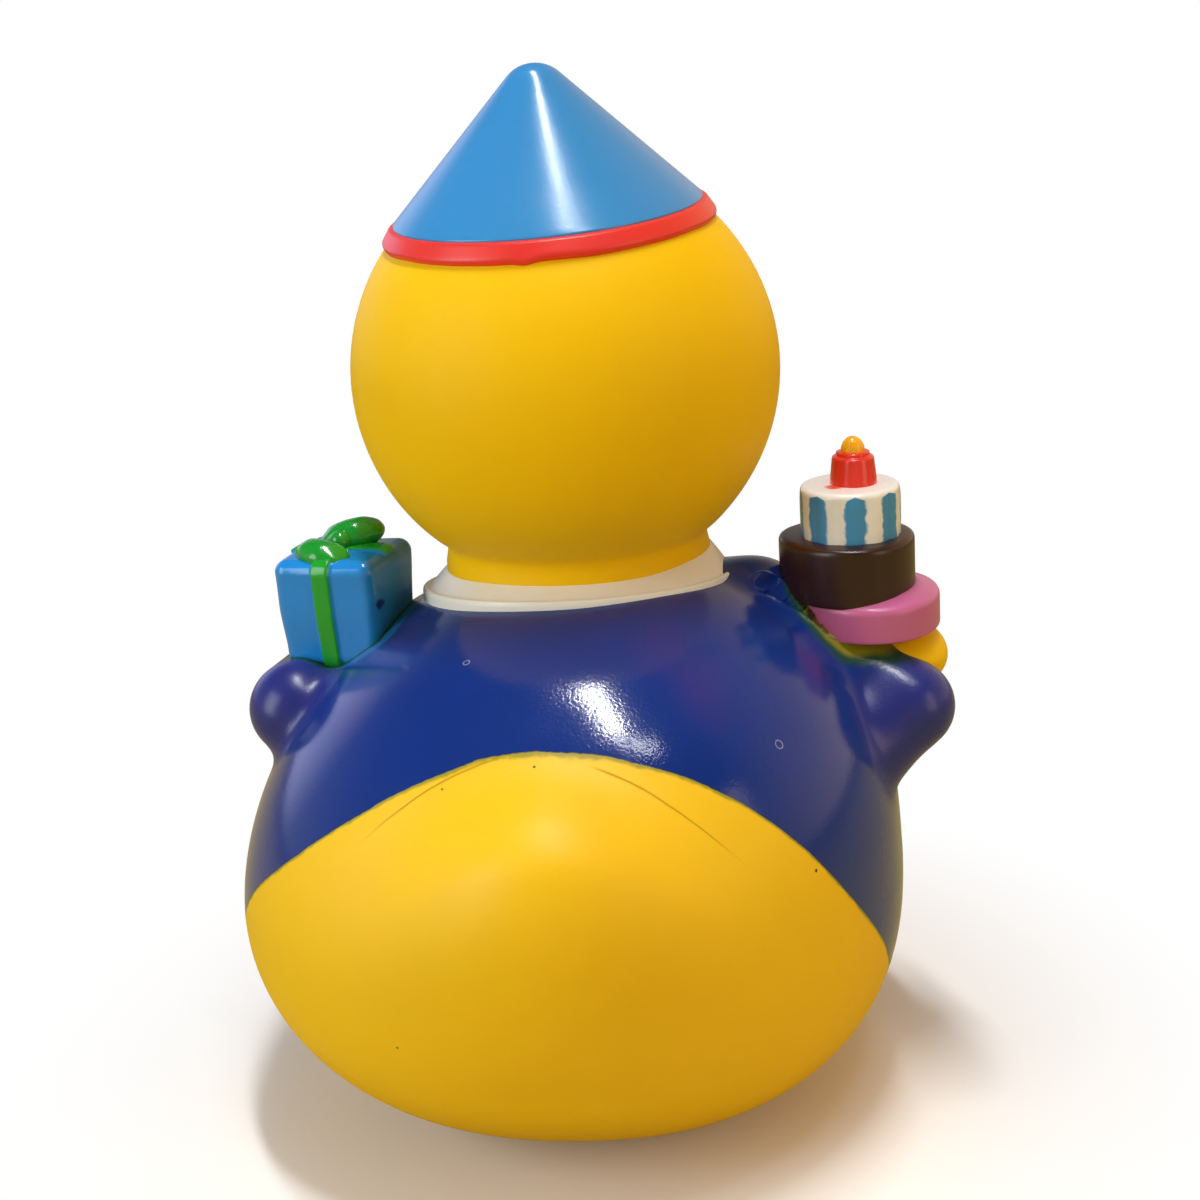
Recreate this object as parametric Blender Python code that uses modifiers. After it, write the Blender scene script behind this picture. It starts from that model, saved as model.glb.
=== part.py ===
"""Rubber duck in party dress: one hollow moulding of soft vinyl.

Lengths are in metres, written as millimetres times MM. +Z is up, the duck faces -Y and its left is +X.
The torso and the arms are cast: rays leave a point inside a form and stop where its field turns positive,
so one field gives the outer skin and, one wall further in, the hollow. Round forms are revolved profiles.
Every form is then joined into the torso, and the hollow, the base recess and the vent are cut from it.
"""

import math

import bmesh
import bpy
import numpy as np
from mathutils import Matrix, Vector

MM = 0.001

# Shell
WALL = 2.4 * MM
OVERLAP = 1.5 * MM
REACH = 80 * MM
TINY = 1e-9
ROUND_STEPS = 40
FINE_STEPS = 28

# Torso: an egg with its own half-axis on each side of the centre, bowed to one side and tapering upwards
BODY_CENTRE = Vector((1.8, -9, 22)) * MM
BODY_HALF_WIDTH = 34.3 * MM
BODY_BOW = 0.14
BODY_BOW_ROUNDING = 6 * MM
BODY_TAPER = 0.0016 / MM
BODY_FRONT = 27 * MM
BODY_BACK = 39 * MM
BODY_TOP = 31 * MM
BODY_BELOW = 24.3 * MM
BODY_FULLNESS = 2.25
CAST_CENTRE = Vector((0, 8, 15)) * MM
HOLLOW_CENTRE = Vector((0, -4, 22)) * MM

# Tail: the rear swells towards a gabled lip, then drops back behind it
TAIL_LIFT = 7.5 * MM
TAIL_ELEVATION = math.radians(56)
TAIL_GABLE = 0.68
TAIL_ROUNDING = math.radians(14)
TAIL_HALF_SPAN = math.radians(62)
TAIL_FOOT = math.radians(-5)
TAIL_DROP = math.radians(10)

# Shirt hem: a sloping plane, with bare yellow below and behind it
HEM_POINT = Vector((0, BODY_CENTRE.y + 31 * MM, BODY_CENTRE.z + 24 * MM))
HEM_PITCH = math.radians(67)
HEM_ROLL = math.radians(-2)

# Neck, head and collar
NECK_Y = -12.5 * MM
NECK_X = -0.1 * MM
NECK_RADIUS = 13.3 * MM
NECK_FLARE = 0.8 * MM
NECK_FOOT_Z = 44 * MM
COLLAR_Z = 54.3 * MM
COLLAR_WIDTH = 3.1 * MM
COLLAR_SLOPE = 0.5
COLLAR_PITCH = math.radians(7)
COLLAR_LIP = 0.5 * MM
COLLAR_DEPTH = 3.4 * MM
HEAD_RADIUS = 21.5 * MM
HEAD_Z = 72.3 * MM

# Hat
HAT_TILT_BACK = math.radians(5)
HAT_TILT_SIDE = math.radians(1.5)
HAT_BAND_RADIUS = 16.1 * MM
HAT_BAND_HEIGHT = 2.8 * MM
HAT_BAND_PROUD = 0.4 * MM
HAT_BASE_RADIUS = 14.9 * MM
HAT_HALF_ANGLE = math.radians(46.5)
HAT_TIP_RADIUS = 2.8 * MM

# Face
BILL_SUNK = 0.5 * MM
BILL_DROP = 5.3 * MM
BILL_CENTRE = Vector((0, NECK_Y - HEAD_RADIUS + BILL_SUNK, HEAD_Z - BILL_DROP))
UPPER_BILL = Vector((8.4, 8.6, 3.0)) * MM
LOWER_BILL = Vector((6.8, 6.6, 2.4)) * MM
BILL_GAPE = 3.0 * MM
BILL_TILT = math.radians(-12)
EYE = Vector((3.3, 1.2, 4.4)) * MM
EYE_AZIMUTH = math.radians(24)
EYE_ELEVATION = math.radians(20)

# Arms: shoulder, elbow and wrist of each sleeve, set out from the torso's flanks, as is what the hands hold
LEFT_FLANK = Vector((BODY_HALF_WIDTH, 0, 0))
RIGHT_FLANK = -LEFT_FLANK
LEFT_ARM = [LEFT_FLANK + Vector(p) * MM for p in ((-11.3, -4, 37), (-5.5, -3, 40.5), (-6.8, -16, 41))]
LEFT_SLEEVE = [r * MM for r in (6, 5, 4)]
RIGHT_ARM = [RIGHT_FLANK + Vector(p) * MM for p in ((16.1, -8, 47.2), (1.9, -3, 37.4), (1.3, -14, 38.5))]
RIGHT_SLEEVE = [r * MM for r in (6.5, 5.4, 4)]
LEFT_HAND = LEFT_FLANK + Vector((-8.3, -18, 43)) * MM
RIGHT_HAND = RIGHT_FLANK + Vector((2.3, -14, 40.8)) * MM
LEFT_PALM = Vector((4, 4, 4)) * MM
RIGHT_PALM = Vector((5.5, 7, 2.4)) * MM

# Present
GIFT_CENTRE = LEFT_FLANK + Vector((-10.4, -9, 49.9)) * MM
GIFT_SIZE = 11.3 * MM
GIFT_YAW = math.radians(-12)
GIFT_EDGE = 0.7 * MM
RIBBON_WIDTH = 2.0 * MM
RIBBON_PROUD = 0.4 * MM
BOW_LOOP = Vector((3.1, 1.9, 1.6)) * MM
BOW_SPREAD = 2.1 * MM
BOW_SKEW = math.radians(20)
BOW_KNOT = 1.4 * MM

# Cake
CAKE_CENTRE = RIGHT_FLANK + Vector((5.8, -10, 44.6)) * MM
TIER_SHIFTS = [x * MM for x in (-1.2, 0.8, 0.4)]
TIER_RADII = [r * MM for r in (7.4, 6.7, 5.0)]
TIER_HEIGHTS = [h * MM for h in (5.0, 5.3, 5.1)]
TIER_EDGE = 0.7 * MM
TIER_STEPS = 28
FLUTES = 12
FLUTE_DEPTH = 0.3 * MM
CANDLE_RADIUS = 2.4 * MM
CANDLE_TOP_RADIUS = 2.1 * MM
CANDLE_KNOB_RADIUS = 1.7 * MM
CANDLE_KNOB_HEIGHT = 0.4 * MM
CANDLE_HEIGHT = 3.2 * MM
FLAME = Vector((1.2, 1.2, 1.5)) * MM

# Underside
BASE_CENTRE = Vector((-0.5, -6, 0)) * MM
RECESS_RADIUS = 11 * MM
RECESS_DEPTH = 0.8 * MM
VENT_RADIUS = 1.5 * MM

COLOURS = {
    "yellow": (0.91, 0.60, 0.003),
    "navy": (0.02, 0.03, 0.22),
    "cream": (0.80, 0.70, 0.52),
    "sky": (0.06, 0.37, 0.80),
    "red": (0.80, 0.03, 0.02),
    "green": (0.01, 0.25, 0.03),
    "pink": (0.78, 0.22, 0.42),
    "chocolate": (0.03, 0.012, 0.008),
    "white": (0.85, 0.80, 0.70),
    "orange": (0.85, 0.22, 0.01),
}


def clear_scene():
    for old in list(bpy.data.objects):
        bpy.data.objects.remove(old)


def collection(name, hidden):
    group = bpy.data.collections.new(name)
    bpy.context.scene.collection.children.link(group)
    group.hide_render = hidden
    return group


def material(name):
    paint = bpy.data.materials.new(name)
    paint.diffuse_color = (*COLOURS[name], 1)
    paint.use_nodes = True
    shader = paint.node_tree.nodes["Principled BSDF"]
    shader.inputs["Base Color"].default_value = (*COLOURS[name], 1)
    shader.inputs["Roughness"].default_value = 0.45
    return paint


def place(bm, name, group, colour):
    """Turns a bmesh into an object, and hides it where its group holds only forms that are joined or cut."""
    bmesh.ops.recalc_face_normals(bm, faces=bm.faces)
    mesh = bpy.data.meshes.new(name)
    bm.to_mesh(mesh)
    bm.free()
    mesh.materials.append(bpy.data.materials[colour])
    piece = bpy.data.objects.new(name, mesh)
    group.objects.link(piece)
    piece.hide_render = group.hide_render
    if group.hide_render:
        piece.display_type = "WIRE"
    return piece


def egg(points, centre, low, high, fullness):
    """Distance, close to the skin, from an ellipsoid whose half-axes differ on either side of its centre.

    A fullness of 2 gives a plain ellipsoid, and more fills out its shoulders.
    """
    local = points - np.array(centre)
    half = np.where(local < 0, np.array(low), np.array(high))
    part = np.abs(local) / half
    size = (part**fullness).sum(axis=-1) ** (1 / fullness) + TINY
    slope = np.linalg.norm(part ** (fullness - 1) / half, axis=-1) * size ** (1 - fullness) + TINY
    return (size - 1) / slope


def limb(points, start, end, start_radius, end_radius):
    """Distance from a rod with round ends whose radius changes evenly along it."""
    start = np.array(start)
    axis = np.array(end) - start
    along = np.clip((points - start) @ axis / (axis @ axis), 0, 1)
    core = start + along[..., None] * axis
    return np.linalg.norm(points - core, axis=-1) - (start_radius + along * (end_radius - start_radius))


def smooth_step(value):
    value = np.clip(value, 0, 1)
    return value * value * (3 - 2 * value)


def rays(azimuth, elevation):
    """Unit vectors at an azimuth counted from +Y towards +X, and at an elevation above the horizon."""
    flat = np.cos(elevation)
    return np.stack([np.sin(azimuth) * flat, np.cos(azimuth) * flat, np.sin(elevation)], axis=-1)


def reach(field, centre, directions):
    """How far each ray goes from the centre before the field turns positive, by halving."""
    near = np.zeros(directions.shape[:-1])
    far = np.full(directions.shape[:-1], REACH)
    for _ in range(30):
        middle = (near + far) / 2
        inside = field(np.array(centre) + middle[..., None] * directions) < 0
        near = np.where(inside, middle, near)
        far = np.where(inside, far, middle)
    return near


def skin(field, centre, columns, elevations, bend=None, swell=None):
    """A closed bmesh of rings of points, one ring for each elevation, with a point at either pole."""
    azimuth, elevation = np.meshgrid(np.arange(columns) * 2 * math.pi / columns, elevations)
    if bend:
        elevation = bend(azimuth, elevation)
    directions = rays(azimuth, elevation)
    lengths = reach(field, centre, directions)
    if swell:
        lengths = lengths + swell(azimuth, elevation)
    rings = np.array(centre) + lengths[..., None] * directions
    poles = rays(np.zeros(2), np.array([-math.pi / 2, math.pi / 2]))
    ends = np.array(centre) + reach(field, centre, poles)[..., None] * poles

    bm = bmesh.new()
    grid = [[bm.verts.new(point) for point in ring] for ring in rings]
    bottom, top = (bm.verts.new(point) for point in ends)
    close_rings(bm, bottom, grid, top)
    return bm


def close_rings(bm, bottom, grid, top):
    """Faces between rings of vertices and the vertex at either end."""
    columns = len(grid[0])
    for column in range(columns):
        after = (column + 1) % columns
        bm.faces.new((bottom, grid[0][after], grid[0][column]))
        bm.faces.new((top, grid[-1][column], grid[-1][after]))
        for lower, upper in zip(grid, grid[1:]):
            bm.faces.new((lower[column], lower[after], upper[after], upper[column]))


def body_field(points):
    """The egg of the torso, whose middle line bows to one side and which narrows above its centre."""
    centre = np.array(BODY_CENTRE)
    local = points - centre
    height = local[..., 2]
    bow = BODY_BOW * (np.hypot(height, BODY_BOW_ROUNDING) - BODY_BOW_ROUNDING)
    across = (local[..., 0] + bow) / (1 - BODY_TAPER * np.maximum(height, 0))
    local = np.stack([across, local[..., 1], height], axis=-1)
    low = (BODY_HALF_WIDTH, BODY_FRONT, BODY_BELOW)
    high = (BODY_HALF_WIDTH, BODY_BACK, BODY_TOP)
    return egg(local + centre, BODY_CENTRE, low, high, BODY_FULLNESS)


def beside(azimuth):
    """Angle to either side of the tail's ridge, up to the ends of the lip."""
    return np.minimum(np.abs((azimuth + math.pi) % (2 * math.pi) - math.pi), TAIL_HALF_SPAN)


def gable(azimuth):
    """How far the lip lies below its peak, as an angle."""
    return TAIL_GABLE * (np.hypot(beside(azimuth), TAIL_ROUNDING) - TAIL_ROUNDING)


def tail_lip(azimuth, elevation):
    """How far the tail stands out of the body along each ray."""
    crest = TAIL_ELEVATION - gable(azimuth)
    lift = TAIL_LIFT * (1 - smooth_step(beside(azimuth) / TAIL_HALF_SPAN))
    swell = smooth_step((elevation - TAIL_FOOT) / (crest - TAIL_FOOT))
    return lift * np.where(elevation < crest, swell, 1 - smooth_step((elevation - crest) / TAIL_DROP))


def along_the_lip(azimuth, elevation):
    """Bends the rings down beside the tail, so that one of them runs along its lip."""
    upper = (math.pi / 2 - elevation) / (math.pi / 2 - TAIL_ELEVATION)
    lower = (math.pi / 2 + elevation) / (math.pi / 2 + TAIL_ELEVATION)
    return elevation - gable(azimuth) * np.minimum(upper, lower)


def cut_level(bm, height):
    """Cuts away what lies below a height and closes the opening with a flat face."""
    everything = bm.verts[:] + bm.edges[:] + bm.faces[:]
    low, down = (0, 0, height), (0, 0, -1)
    cut = bmesh.ops.bisect_plane(bm, geom=everything, plane_co=low, plane_no=down, clear_outer=True)
    rim = [edge for edge in cut["geom_cut"] if isinstance(edge, bmesh.types.BMEdge)]
    bmesh.ops.contextual_create(bm, geom=rim)


def torso(group):
    """The egg and its tail, cut flat to stand on, with the hem's colours on either side of a plane."""
    below = np.linspace(math.radians(-84), TAIL_ELEVATION - math.radians(9), 18)
    lip = TAIL_ELEVATION + np.radians([-6, -3.5, -1.5, 0, 1, 2, 3.5, 5, 6.5, 8, 10])
    above = np.linspace(lip[-1] + math.radians(4), math.radians(84), 4)
    elevations = np.concatenate([below, lip, above])
    bm = skin(body_field, CAST_CENTRE, 60, elevations, along_the_lip, tail_lip)
    cut_level(bm, 0)
    turn = Matrix.Rotation(HEM_ROLL, 3, "Y") @ Matrix.Rotation(HEM_PITCH, 3, "X")
    normal = turn @ Vector((0, 0, 1))
    everything = bm.verts[:] + bm.edges[:] + bm.faces[:]
    bmesh.ops.bisect_plane(bm, geom=everything, plane_co=HEM_POINT, plane_no=normal)
    for face in bm.faces:
        if (face.calc_center_median() - HEM_POINT).dot(normal) > 0:
            face.material_index = 1
    piece = place(bm, "duck_body", group, "yellow")
    piece.data.materials.append(bpy.data.materials["navy"])
    return piece


def revolve(name, group, colour, profile, centre, steps=ROUND_STEPS, turn=None):
    """Spins (radius, height) points, from the top of the axis to its bottom, about a line through the centre."""
    bm = bmesh.new()
    points = [bm.verts.new((radius, 0, height)) for radius, height in profile]
    for upper, lower in zip(points, points[1:]):
        bm.edges.new((upper, lower))
    piece = place(bm, name, group, colour)
    piece.matrix_world = Matrix.Translation(centre) @ (turn or Matrix.Identity(4))
    screw = piece.modifiers.new("Spin", "SCREW")
    screw.steps = steps
    screw.render_steps = steps
    screw.use_merge_vertices = True
    screw.merge_threshold = 0.01 * MM
    return piece


def arc(centre_radius, centre_height, radius, start, end, count):
    """Profile points on part of a circle, with the angles in degrees above the horizon."""
    angles = [math.radians(start + (end - start) * i / count) for i in range(count + 1)]
    return [(centre_radius + radius * math.cos(a), centre_height + radius * math.sin(a)) for a in angles]


def head(group):
    """The round head, its neck, and the foot that sinks into the torso."""
    meet = -math.degrees(math.acos(NECK_RADIUS / HEAD_RADIUS))
    ball = arc(0, HEAD_Z, HEAD_RADIUS, 90, meet, 14)
    ball[0] = (0, HEAD_Z + HEAD_RADIUS)
    neck = [(NECK_RADIUS + NECK_FLARE, COLLAR_Z), (NECK_RADIUS + NECK_FLARE, NECK_FOOT_Z), (0, NECK_FOOT_Z)]
    return revolve("head", group, "yellow", ball + neck, Vector((NECK_X, NECK_Y, 0)))


def collar(group):
    """A flat ring round the neck, lower in front, that slopes outwards and ends in a thin raised lip."""
    inner = NECK_RADIUS - OVERLAP
    outer = NECK_RADIUS + COLLAR_WIDTH
    fall = -COLLAR_SLOPE * COLLAR_WIDTH
    profile = [
        (0, 0),
        (inner, 0),
        (outer - 2 * COLLAR_LIP, fall),
        (outer - COLLAR_LIP, fall + COLLAR_LIP / 2),
        (outer, fall),
        (outer, fall - COLLAR_DEPTH),
        (0, fall - COLLAR_DEPTH),
    ]
    back = Vector((NECK_X, NECK_Y + NECK_RADIUS, COLLAR_Z))
    pitch = Matrix.Rotation(COLLAR_PITCH, 4, "X") @ Matrix.Translation((0, -NECK_RADIUS, 0))
    return revolve("collar", group, "cream", profile, back, turn=pitch)


def hat_frame():
    """Places a form on the head's centre with its axis along the tilted hat."""
    tilt = Matrix.Rotation(-HAT_TILT_BACK, 4, "X") @ Matrix.Rotation(HAT_TILT_SIDE, 4, "Y")
    return Vector((NECK_X, NECK_Y, HEAD_Z)), tilt


def hat_seat():
    """Height of the band's lower edge above the head's centre, along the hat's axis."""
    return math.sqrt(HEAD_RADIUS**2 - HAT_BAND_RADIUS**2)


def hat(group):
    """The cone, from its rounded tip down to a foot inside the head, and the band round its rim."""
    centre, turn = hat_frame()
    seat = hat_seat()
    rim = seat + HAT_BAND_HEIGHT
    apex = rim + HAT_BASE_RADIUS / math.tan(HAT_HALF_ANGLE)
    tip = apex - HAT_TIP_RADIUS / math.sin(HAT_HALF_ANGLE)
    nose = arc(0, tip, HAT_TIP_RADIUS, 90, math.degrees(HAT_HALF_ANGLE), 4)
    nose[0] = (0, tip + HAT_TIP_RADIUS)
    cone = nose + [(HAT_BASE_RADIUS, rim), (HAT_BASE_RADIUS - OVERLAP, seat - OVERLAP), (0, seat - OVERLAP)]
    revolve("hat", group, "sky", cone, centre, turn=turn)
    band = [
        (0, rim),
        (HAT_BASE_RADIUS - 0.1 * MM, rim),
        (HAT_BASE_RADIUS + HAT_BAND_PROUD, rim - 0.2 * MM),
        (HAT_BAND_RADIUS + HAT_BAND_PROUD, seat + 0.5 * MM),
        (HAT_BAND_RADIUS, seat - 0.1 * MM),
        (HAT_BAND_RADIUS - OVERLAP, seat - 0.1 * MM),
        (0, seat - 0.1 * MM),
    ]
    revolve("hat_band", group, "red", band, centre, turn=turn)


def lump(name, group, colour, centre, half, turn=None, columns=24, rows=10):
    """An ellipsoid."""
    bm = bmesh.new()
    bmesh.ops.create_uvsphere(bm, u_segments=columns, v_segments=rows, radius=1)
    place_at = Matrix.Translation(centre) @ (turn or Matrix.Identity(4)) @ Matrix.Diagonal((*half, 1))
    bmesh.ops.transform(bm, matrix=place_at, verts=bm.verts)
    return place(bm, name, group, colour)


def face(group):
    """A two-part bill and a slightly raised oval under each painted eye."""
    tilt = Matrix.Rotation(BILL_TILT, 4, "X")
    lump("upper_bill", group, "orange", BILL_CENTRE, UPPER_BILL, tilt)
    lower = BILL_CENTRE - Vector((0, -BILL_GAPE / 2, BILL_GAPE))
    lump("lower_bill", group, "orange", lower, LOWER_BILL, tilt)
    for side in (-1, 1):
        turn = Matrix.Rotation(side * EYE_AZIMUTH, 4, "Z") @ Matrix.Rotation(-EYE_ELEVATION, 4, "X")
        out = turn @ Vector((0, -HEAD_RADIUS + EYE.y / 2, 0))
        lump("eye", group, "white", Vector((NECK_X, NECK_Y, HEAD_Z)) + out, EYE, turn, 16, 8)


def sleeve(name, group, joints, radii):
    """One cast form round the upper arm and the forearm."""

    def field(points):
        upper = limb(points, joints[0], joints[1], radii[0], radii[1])
        lower = limb(points, joints[1], joints[2], radii[1], radii[2])
        return np.minimum(upper, lower)

    bm = skin(field, joints[1], 20, np.radians(np.arange(-75, 90, 15.0)))
    return place(bm, name, group, "navy")


def arms(group):
    sleeve("left_sleeve", group, LEFT_ARM, LEFT_SLEEVE)
    sleeve("right_sleeve", group, RIGHT_ARM, RIGHT_SLEEVE)
    lump("left_hand", group, "yellow", LEFT_HAND, LEFT_PALM, None, 16, 8)
    lump("right_hand", group, "yellow", RIGHT_HAND, RIGHT_PALM, None, 16, 8)


def block(name, group, colour, size, placing, edge, steps=2):
    """A box of the given size with bevelled edges, moved by a matrix."""
    bm = bmesh.new()
    bmesh.ops.create_cube(bm, size=1, matrix=Matrix.Diagonal((*size, 1)))
    bmesh.ops.bevel(bm, geom=bm.edges[:], offset=edge, segments=steps, profile=0.5, affect="EDGES")
    bmesh.ops.transform(bm, matrix=placing, verts=bm.verts)
    return place(bm, name, group, colour)


def gift(group):
    """The wrapped box, two raised bands that cross on its top, and a bow of two loops and a knot."""
    placing = Matrix.Translation(GIFT_CENTRE) @ Matrix.Rotation(GIFT_YAW, 4, "Z")
    half = GIFT_SIZE / 2
    wrap = GIFT_SIZE + 2 * RIBBON_PROUD
    block("gift", group, "sky", (GIFT_SIZE,) * 3, placing, GIFT_EDGE)
    block("ribbon_across", group, "green", (wrap, RIBBON_WIDTH, wrap), placing, RIBBON_PROUD, 1)
    block("ribbon_along", group, "green", (RIBBON_WIDTH, wrap, wrap), placing, RIBBON_PROUD, 1)
    knot = placing @ Vector((0, 0, half + BOW_KNOT / 2))
    lump("bow_knot", group, "green", knot, Vector((BOW_KNOT,) * 3), None, 12, 6)
    for side in (-1, 1):
        swing = Matrix.Rotation(GIFT_YAW - side * BOW_SKEW, 4, "Z")
        loop = placing @ Vector((0, side * BOW_SPREAD, half + BOW_LOOP.z * 0.6))
        lump("bow_loop", group, "green", loop, BOW_LOOP, swing, 16, 8)


def tier(name, group, colour, radius, height, foot, shift):
    """A cake tier with a softened top edge, set a little to one side as it was sculpted."""
    top = foot + height
    profile = [(0, top), (radius - TIER_EDGE, top), (radius - TIER_EDGE * 0.3, top - TIER_EDGE * 0.3),
               (radius, top - TIER_EDGE), (radius, foot), (0, foot)]
    return revolve(name, group, colour, profile, CAKE_CENTRE + Vector((shift, 0, 0)), TIER_STEPS)


def fluted_tier(name, group, colour, radius, height, foot, shift):
    """A cake tier whose side waves in and out."""
    top = foot + height
    bm = bmesh.new()
    turns = [math.pi * i / FLUTES for i in range(2 * FLUTES)]

    def ring(out, level, wave):
        radii = [out - wave * (i % 2) for i in range(2 * FLUTES)]
        return [bm.verts.new((r * math.cos(a), r * math.sin(a), level)) for r, a in zip(radii, turns)]

    bottom = bm.verts.new((0, 0, foot))
    grid = [
        ring(radius, foot, FLUTE_DEPTH),
        ring(radius, top - TIER_EDGE, FLUTE_DEPTH),
        ring(radius - TIER_EDGE * 0.3, top - TIER_EDGE * 0.3, FLUTE_DEPTH / 2),
        ring(radius - TIER_EDGE, top, 0),
    ]
    close_rings(bm, bottom, grid, bm.verts.new((0, 0, top)))
    bmesh.ops.translate(bm, verts=bm.verts, vec=CAKE_CENTRE + Vector((shift, 0, 0)))
    return place(bm, name, group, colour)


def cake(group):
    """Three tiers, a stubby candle and its flame, each form sunk a little into the one below."""
    foot = 0.0
    tiers = ((tier, "lower_tier", "pink"), (tier, "middle_tier", "chocolate"), (fluted_tier, "upper_tier", "white"))
    for kind, radius, height, shift in zip(tiers, TIER_RADII, TIER_HEIGHTS, TIER_SHIFTS):
        make, name, colour = kind
        make(name, group, colour, radius, height + OVERLAP, foot - OVERLAP, shift)
        foot += height
    shoulder = foot + CANDLE_HEIGHT - CANDLE_KNOB_HEIGHT
    stub = [
        (0, foot + CANDLE_HEIGHT),
        (CANDLE_KNOB_RADIUS, foot + CANDLE_HEIGHT),
        (CANDLE_KNOB_RADIUS, shoulder),
        (CANDLE_TOP_RADIUS, shoulder - CANDLE_KNOB_HEIGHT / 2),
        (CANDLE_RADIUS, foot),
        (CANDLE_RADIUS, foot - OVERLAP),
        (0, foot - OVERLAP),
    ]
    revolve("candle", group, "red", stub, CAKE_CENTRE, 20)
    lump("flame", group, "yellow", CAKE_CENTRE + Vector((0, 0, foot + CANDLE_HEIGHT)), FLAME, None, 12, 6)


def hollow(cutters):
    """The inside of the shell: the body and the head, one wall further in, joined through the neck."""

    def inner_body(points):
        return body_field(points) + WALL

    bm = skin(inner_body, HOLLOW_CENTRE, 36, np.radians(np.arange(-78, 90, 12.0)))
    cut_level(bm, WALL + RECESS_DEPTH)
    place(bm, "body_hollow", cutters, "yellow")
    meet = -math.degrees(math.acos((NECK_RADIUS - WALL) / (HEAD_RADIUS - WALL)))
    ball = arc(0, HEAD_Z, HEAD_RADIUS - WALL, 90, meet, 9)
    ball[0] = (0, HEAD_Z + HEAD_RADIUS - WALL)
    throat = [(NECK_RADIUS - WALL, NECK_FOOT_Z - WALL), (0, NECK_FOOT_Z - WALL)]
    revolve("head_hollow", cutters, "yellow", ball + throat, Vector((NECK_X, NECK_Y, 0)), FINE_STEPS)


def underside(cutters):
    """A shallow recess that leaves a ring to stand on, and the vent through the floor of the shell."""
    recess = [(0, RECESS_DEPTH), (RECESS_RADIUS, RECESS_DEPTH), (RECESS_RADIUS, -OVERLAP), (0, -OVERLAP)]
    revolve("base_recess", cutters, "yellow", recess, BASE_CENTRE, FINE_STEPS)
    depth = RECESS_DEPTH + WALL + OVERLAP
    vent = [(0, depth), (VENT_RADIUS, depth), (VENT_RADIUS, 0), (0, 0)]
    revolve("vent", cutters, "yellow", vent, BASE_CENTRE, 20)


def combine(body, operation, group):
    step = body.modifiers.new(group.name, "BOOLEAN")
    step.operation = operation
    step.operand_type = "COLLECTION"
    step.collection = group
    step.solver = "EXACT"
    step.material_mode = "TRANSFER"


def centre_over_base(body):
    """Moves everything so that the origin is under the middle of the duck, on the surface it stands on."""
    bpy.context.view_layer.update()
    shape = body.evaluated_get(bpy.context.evaluated_depsgraph_get())
    corners = [shape.matrix_world @ Vector(corner) for corner in shape.bound_box]
    low = Vector([min(corner[axis] for corner in corners) for axis in range(3)])
    high = Vector([max(corner[axis] for corner in corners) for axis in range(3)])
    shift = Matrix.Translation((-(low.x + high.x) / 2, -(low.y + high.y) / 2, -low.z))
    for piece in bpy.data.objects:
        piece.matrix_world = shift @ piece.matrix_world


def build():
    clear_scene()
    duck = collection("rubber_duck", False)
    forms = collection("joined_forms", True)
    cutters = collection("cutters", True)
    for name in COLOURS:
        material(name)
    body = torso(duck)
    head(forms)
    collar(forms)
    hat(forms)
    face(forms)
    arms(forms)
    gift(forms)
    cake(forms)
    hollow(cutters)
    underside(cutters)
    combine(body, "UNION", forms)
    combine(body, "DIFFERENCE", cutters)
    centre_over_base(body)


build()
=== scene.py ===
"""The looks of the rubber duck: its moulded skin in full detail, its paint put on by hand, light and camera.

Every form is built in the sculpt's own place, in metres, and FRAME_SHIFT carries it over the part's origin.
The material masks read object coordinates, so they too are written in the sculpt's place.
"""

import math
from functools import partial

import bmesh
import bpy
import numpy as np
from mathutils import Matrix, Vector, noise
from numpy.linalg import norm


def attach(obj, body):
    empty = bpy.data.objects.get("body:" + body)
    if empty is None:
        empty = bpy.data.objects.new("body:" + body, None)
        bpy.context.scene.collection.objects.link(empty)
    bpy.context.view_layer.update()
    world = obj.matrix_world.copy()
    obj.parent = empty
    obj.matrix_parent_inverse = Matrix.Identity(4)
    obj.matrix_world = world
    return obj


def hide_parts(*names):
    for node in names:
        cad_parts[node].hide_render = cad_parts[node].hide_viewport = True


MM = 0.001
REACH = 80 * MM
FAR = 9.0
TINY = 1e-9
NEARLY_STRAIGHT = 0.02
HALVINGS = 26


def in_mm(*values):
    """Sizes or places that are given in millimetres, as a list in metres."""
    return [np.array(value) * MM for value in values]


FRAME_SHIFT = Vector((0.8536, 4.1301, 0)) * MM

# Torso
BODY_CENTRE = np.array([1.8, -9, 22]) * MM
BODY_HALF_WIDTH = 34.3 * MM
BODY_BOW = 0.14
BODY_BOW_ROUNDING = 6 * MM
BODY_TAPER = 0.0016 / MM
BODY_FRONT = 27 * MM
BODY_BACK = 39 * MM
BODY_TOP = 31.4 * MM
BODY_BELOW = 24.3 * MM
BODY_FULLNESS = 2.25
CAST_CENTRE = np.array([0, 8, 15]) * MM
TAIL_LIFT = 5.9 * MM
TAIL_FALL = 1.6
TAIL_END = math.radians(67)
TAIL_ARCH = 0.39
TAIL_HALF_SPAN = math.radians(62)
TAIL_FOOT = math.radians(-5)
TAIL_DROP = math.radians(24)
BASE_CENTRE = np.array([-0.5, -6, 0]) * MM
RECESS_RADIUS = 11 * MM
RECESS_DEPTH = 0.8 * MM
SKIN_CELL = 0.48 * MM
SKIN_INSET = 0.05 * MM

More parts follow.
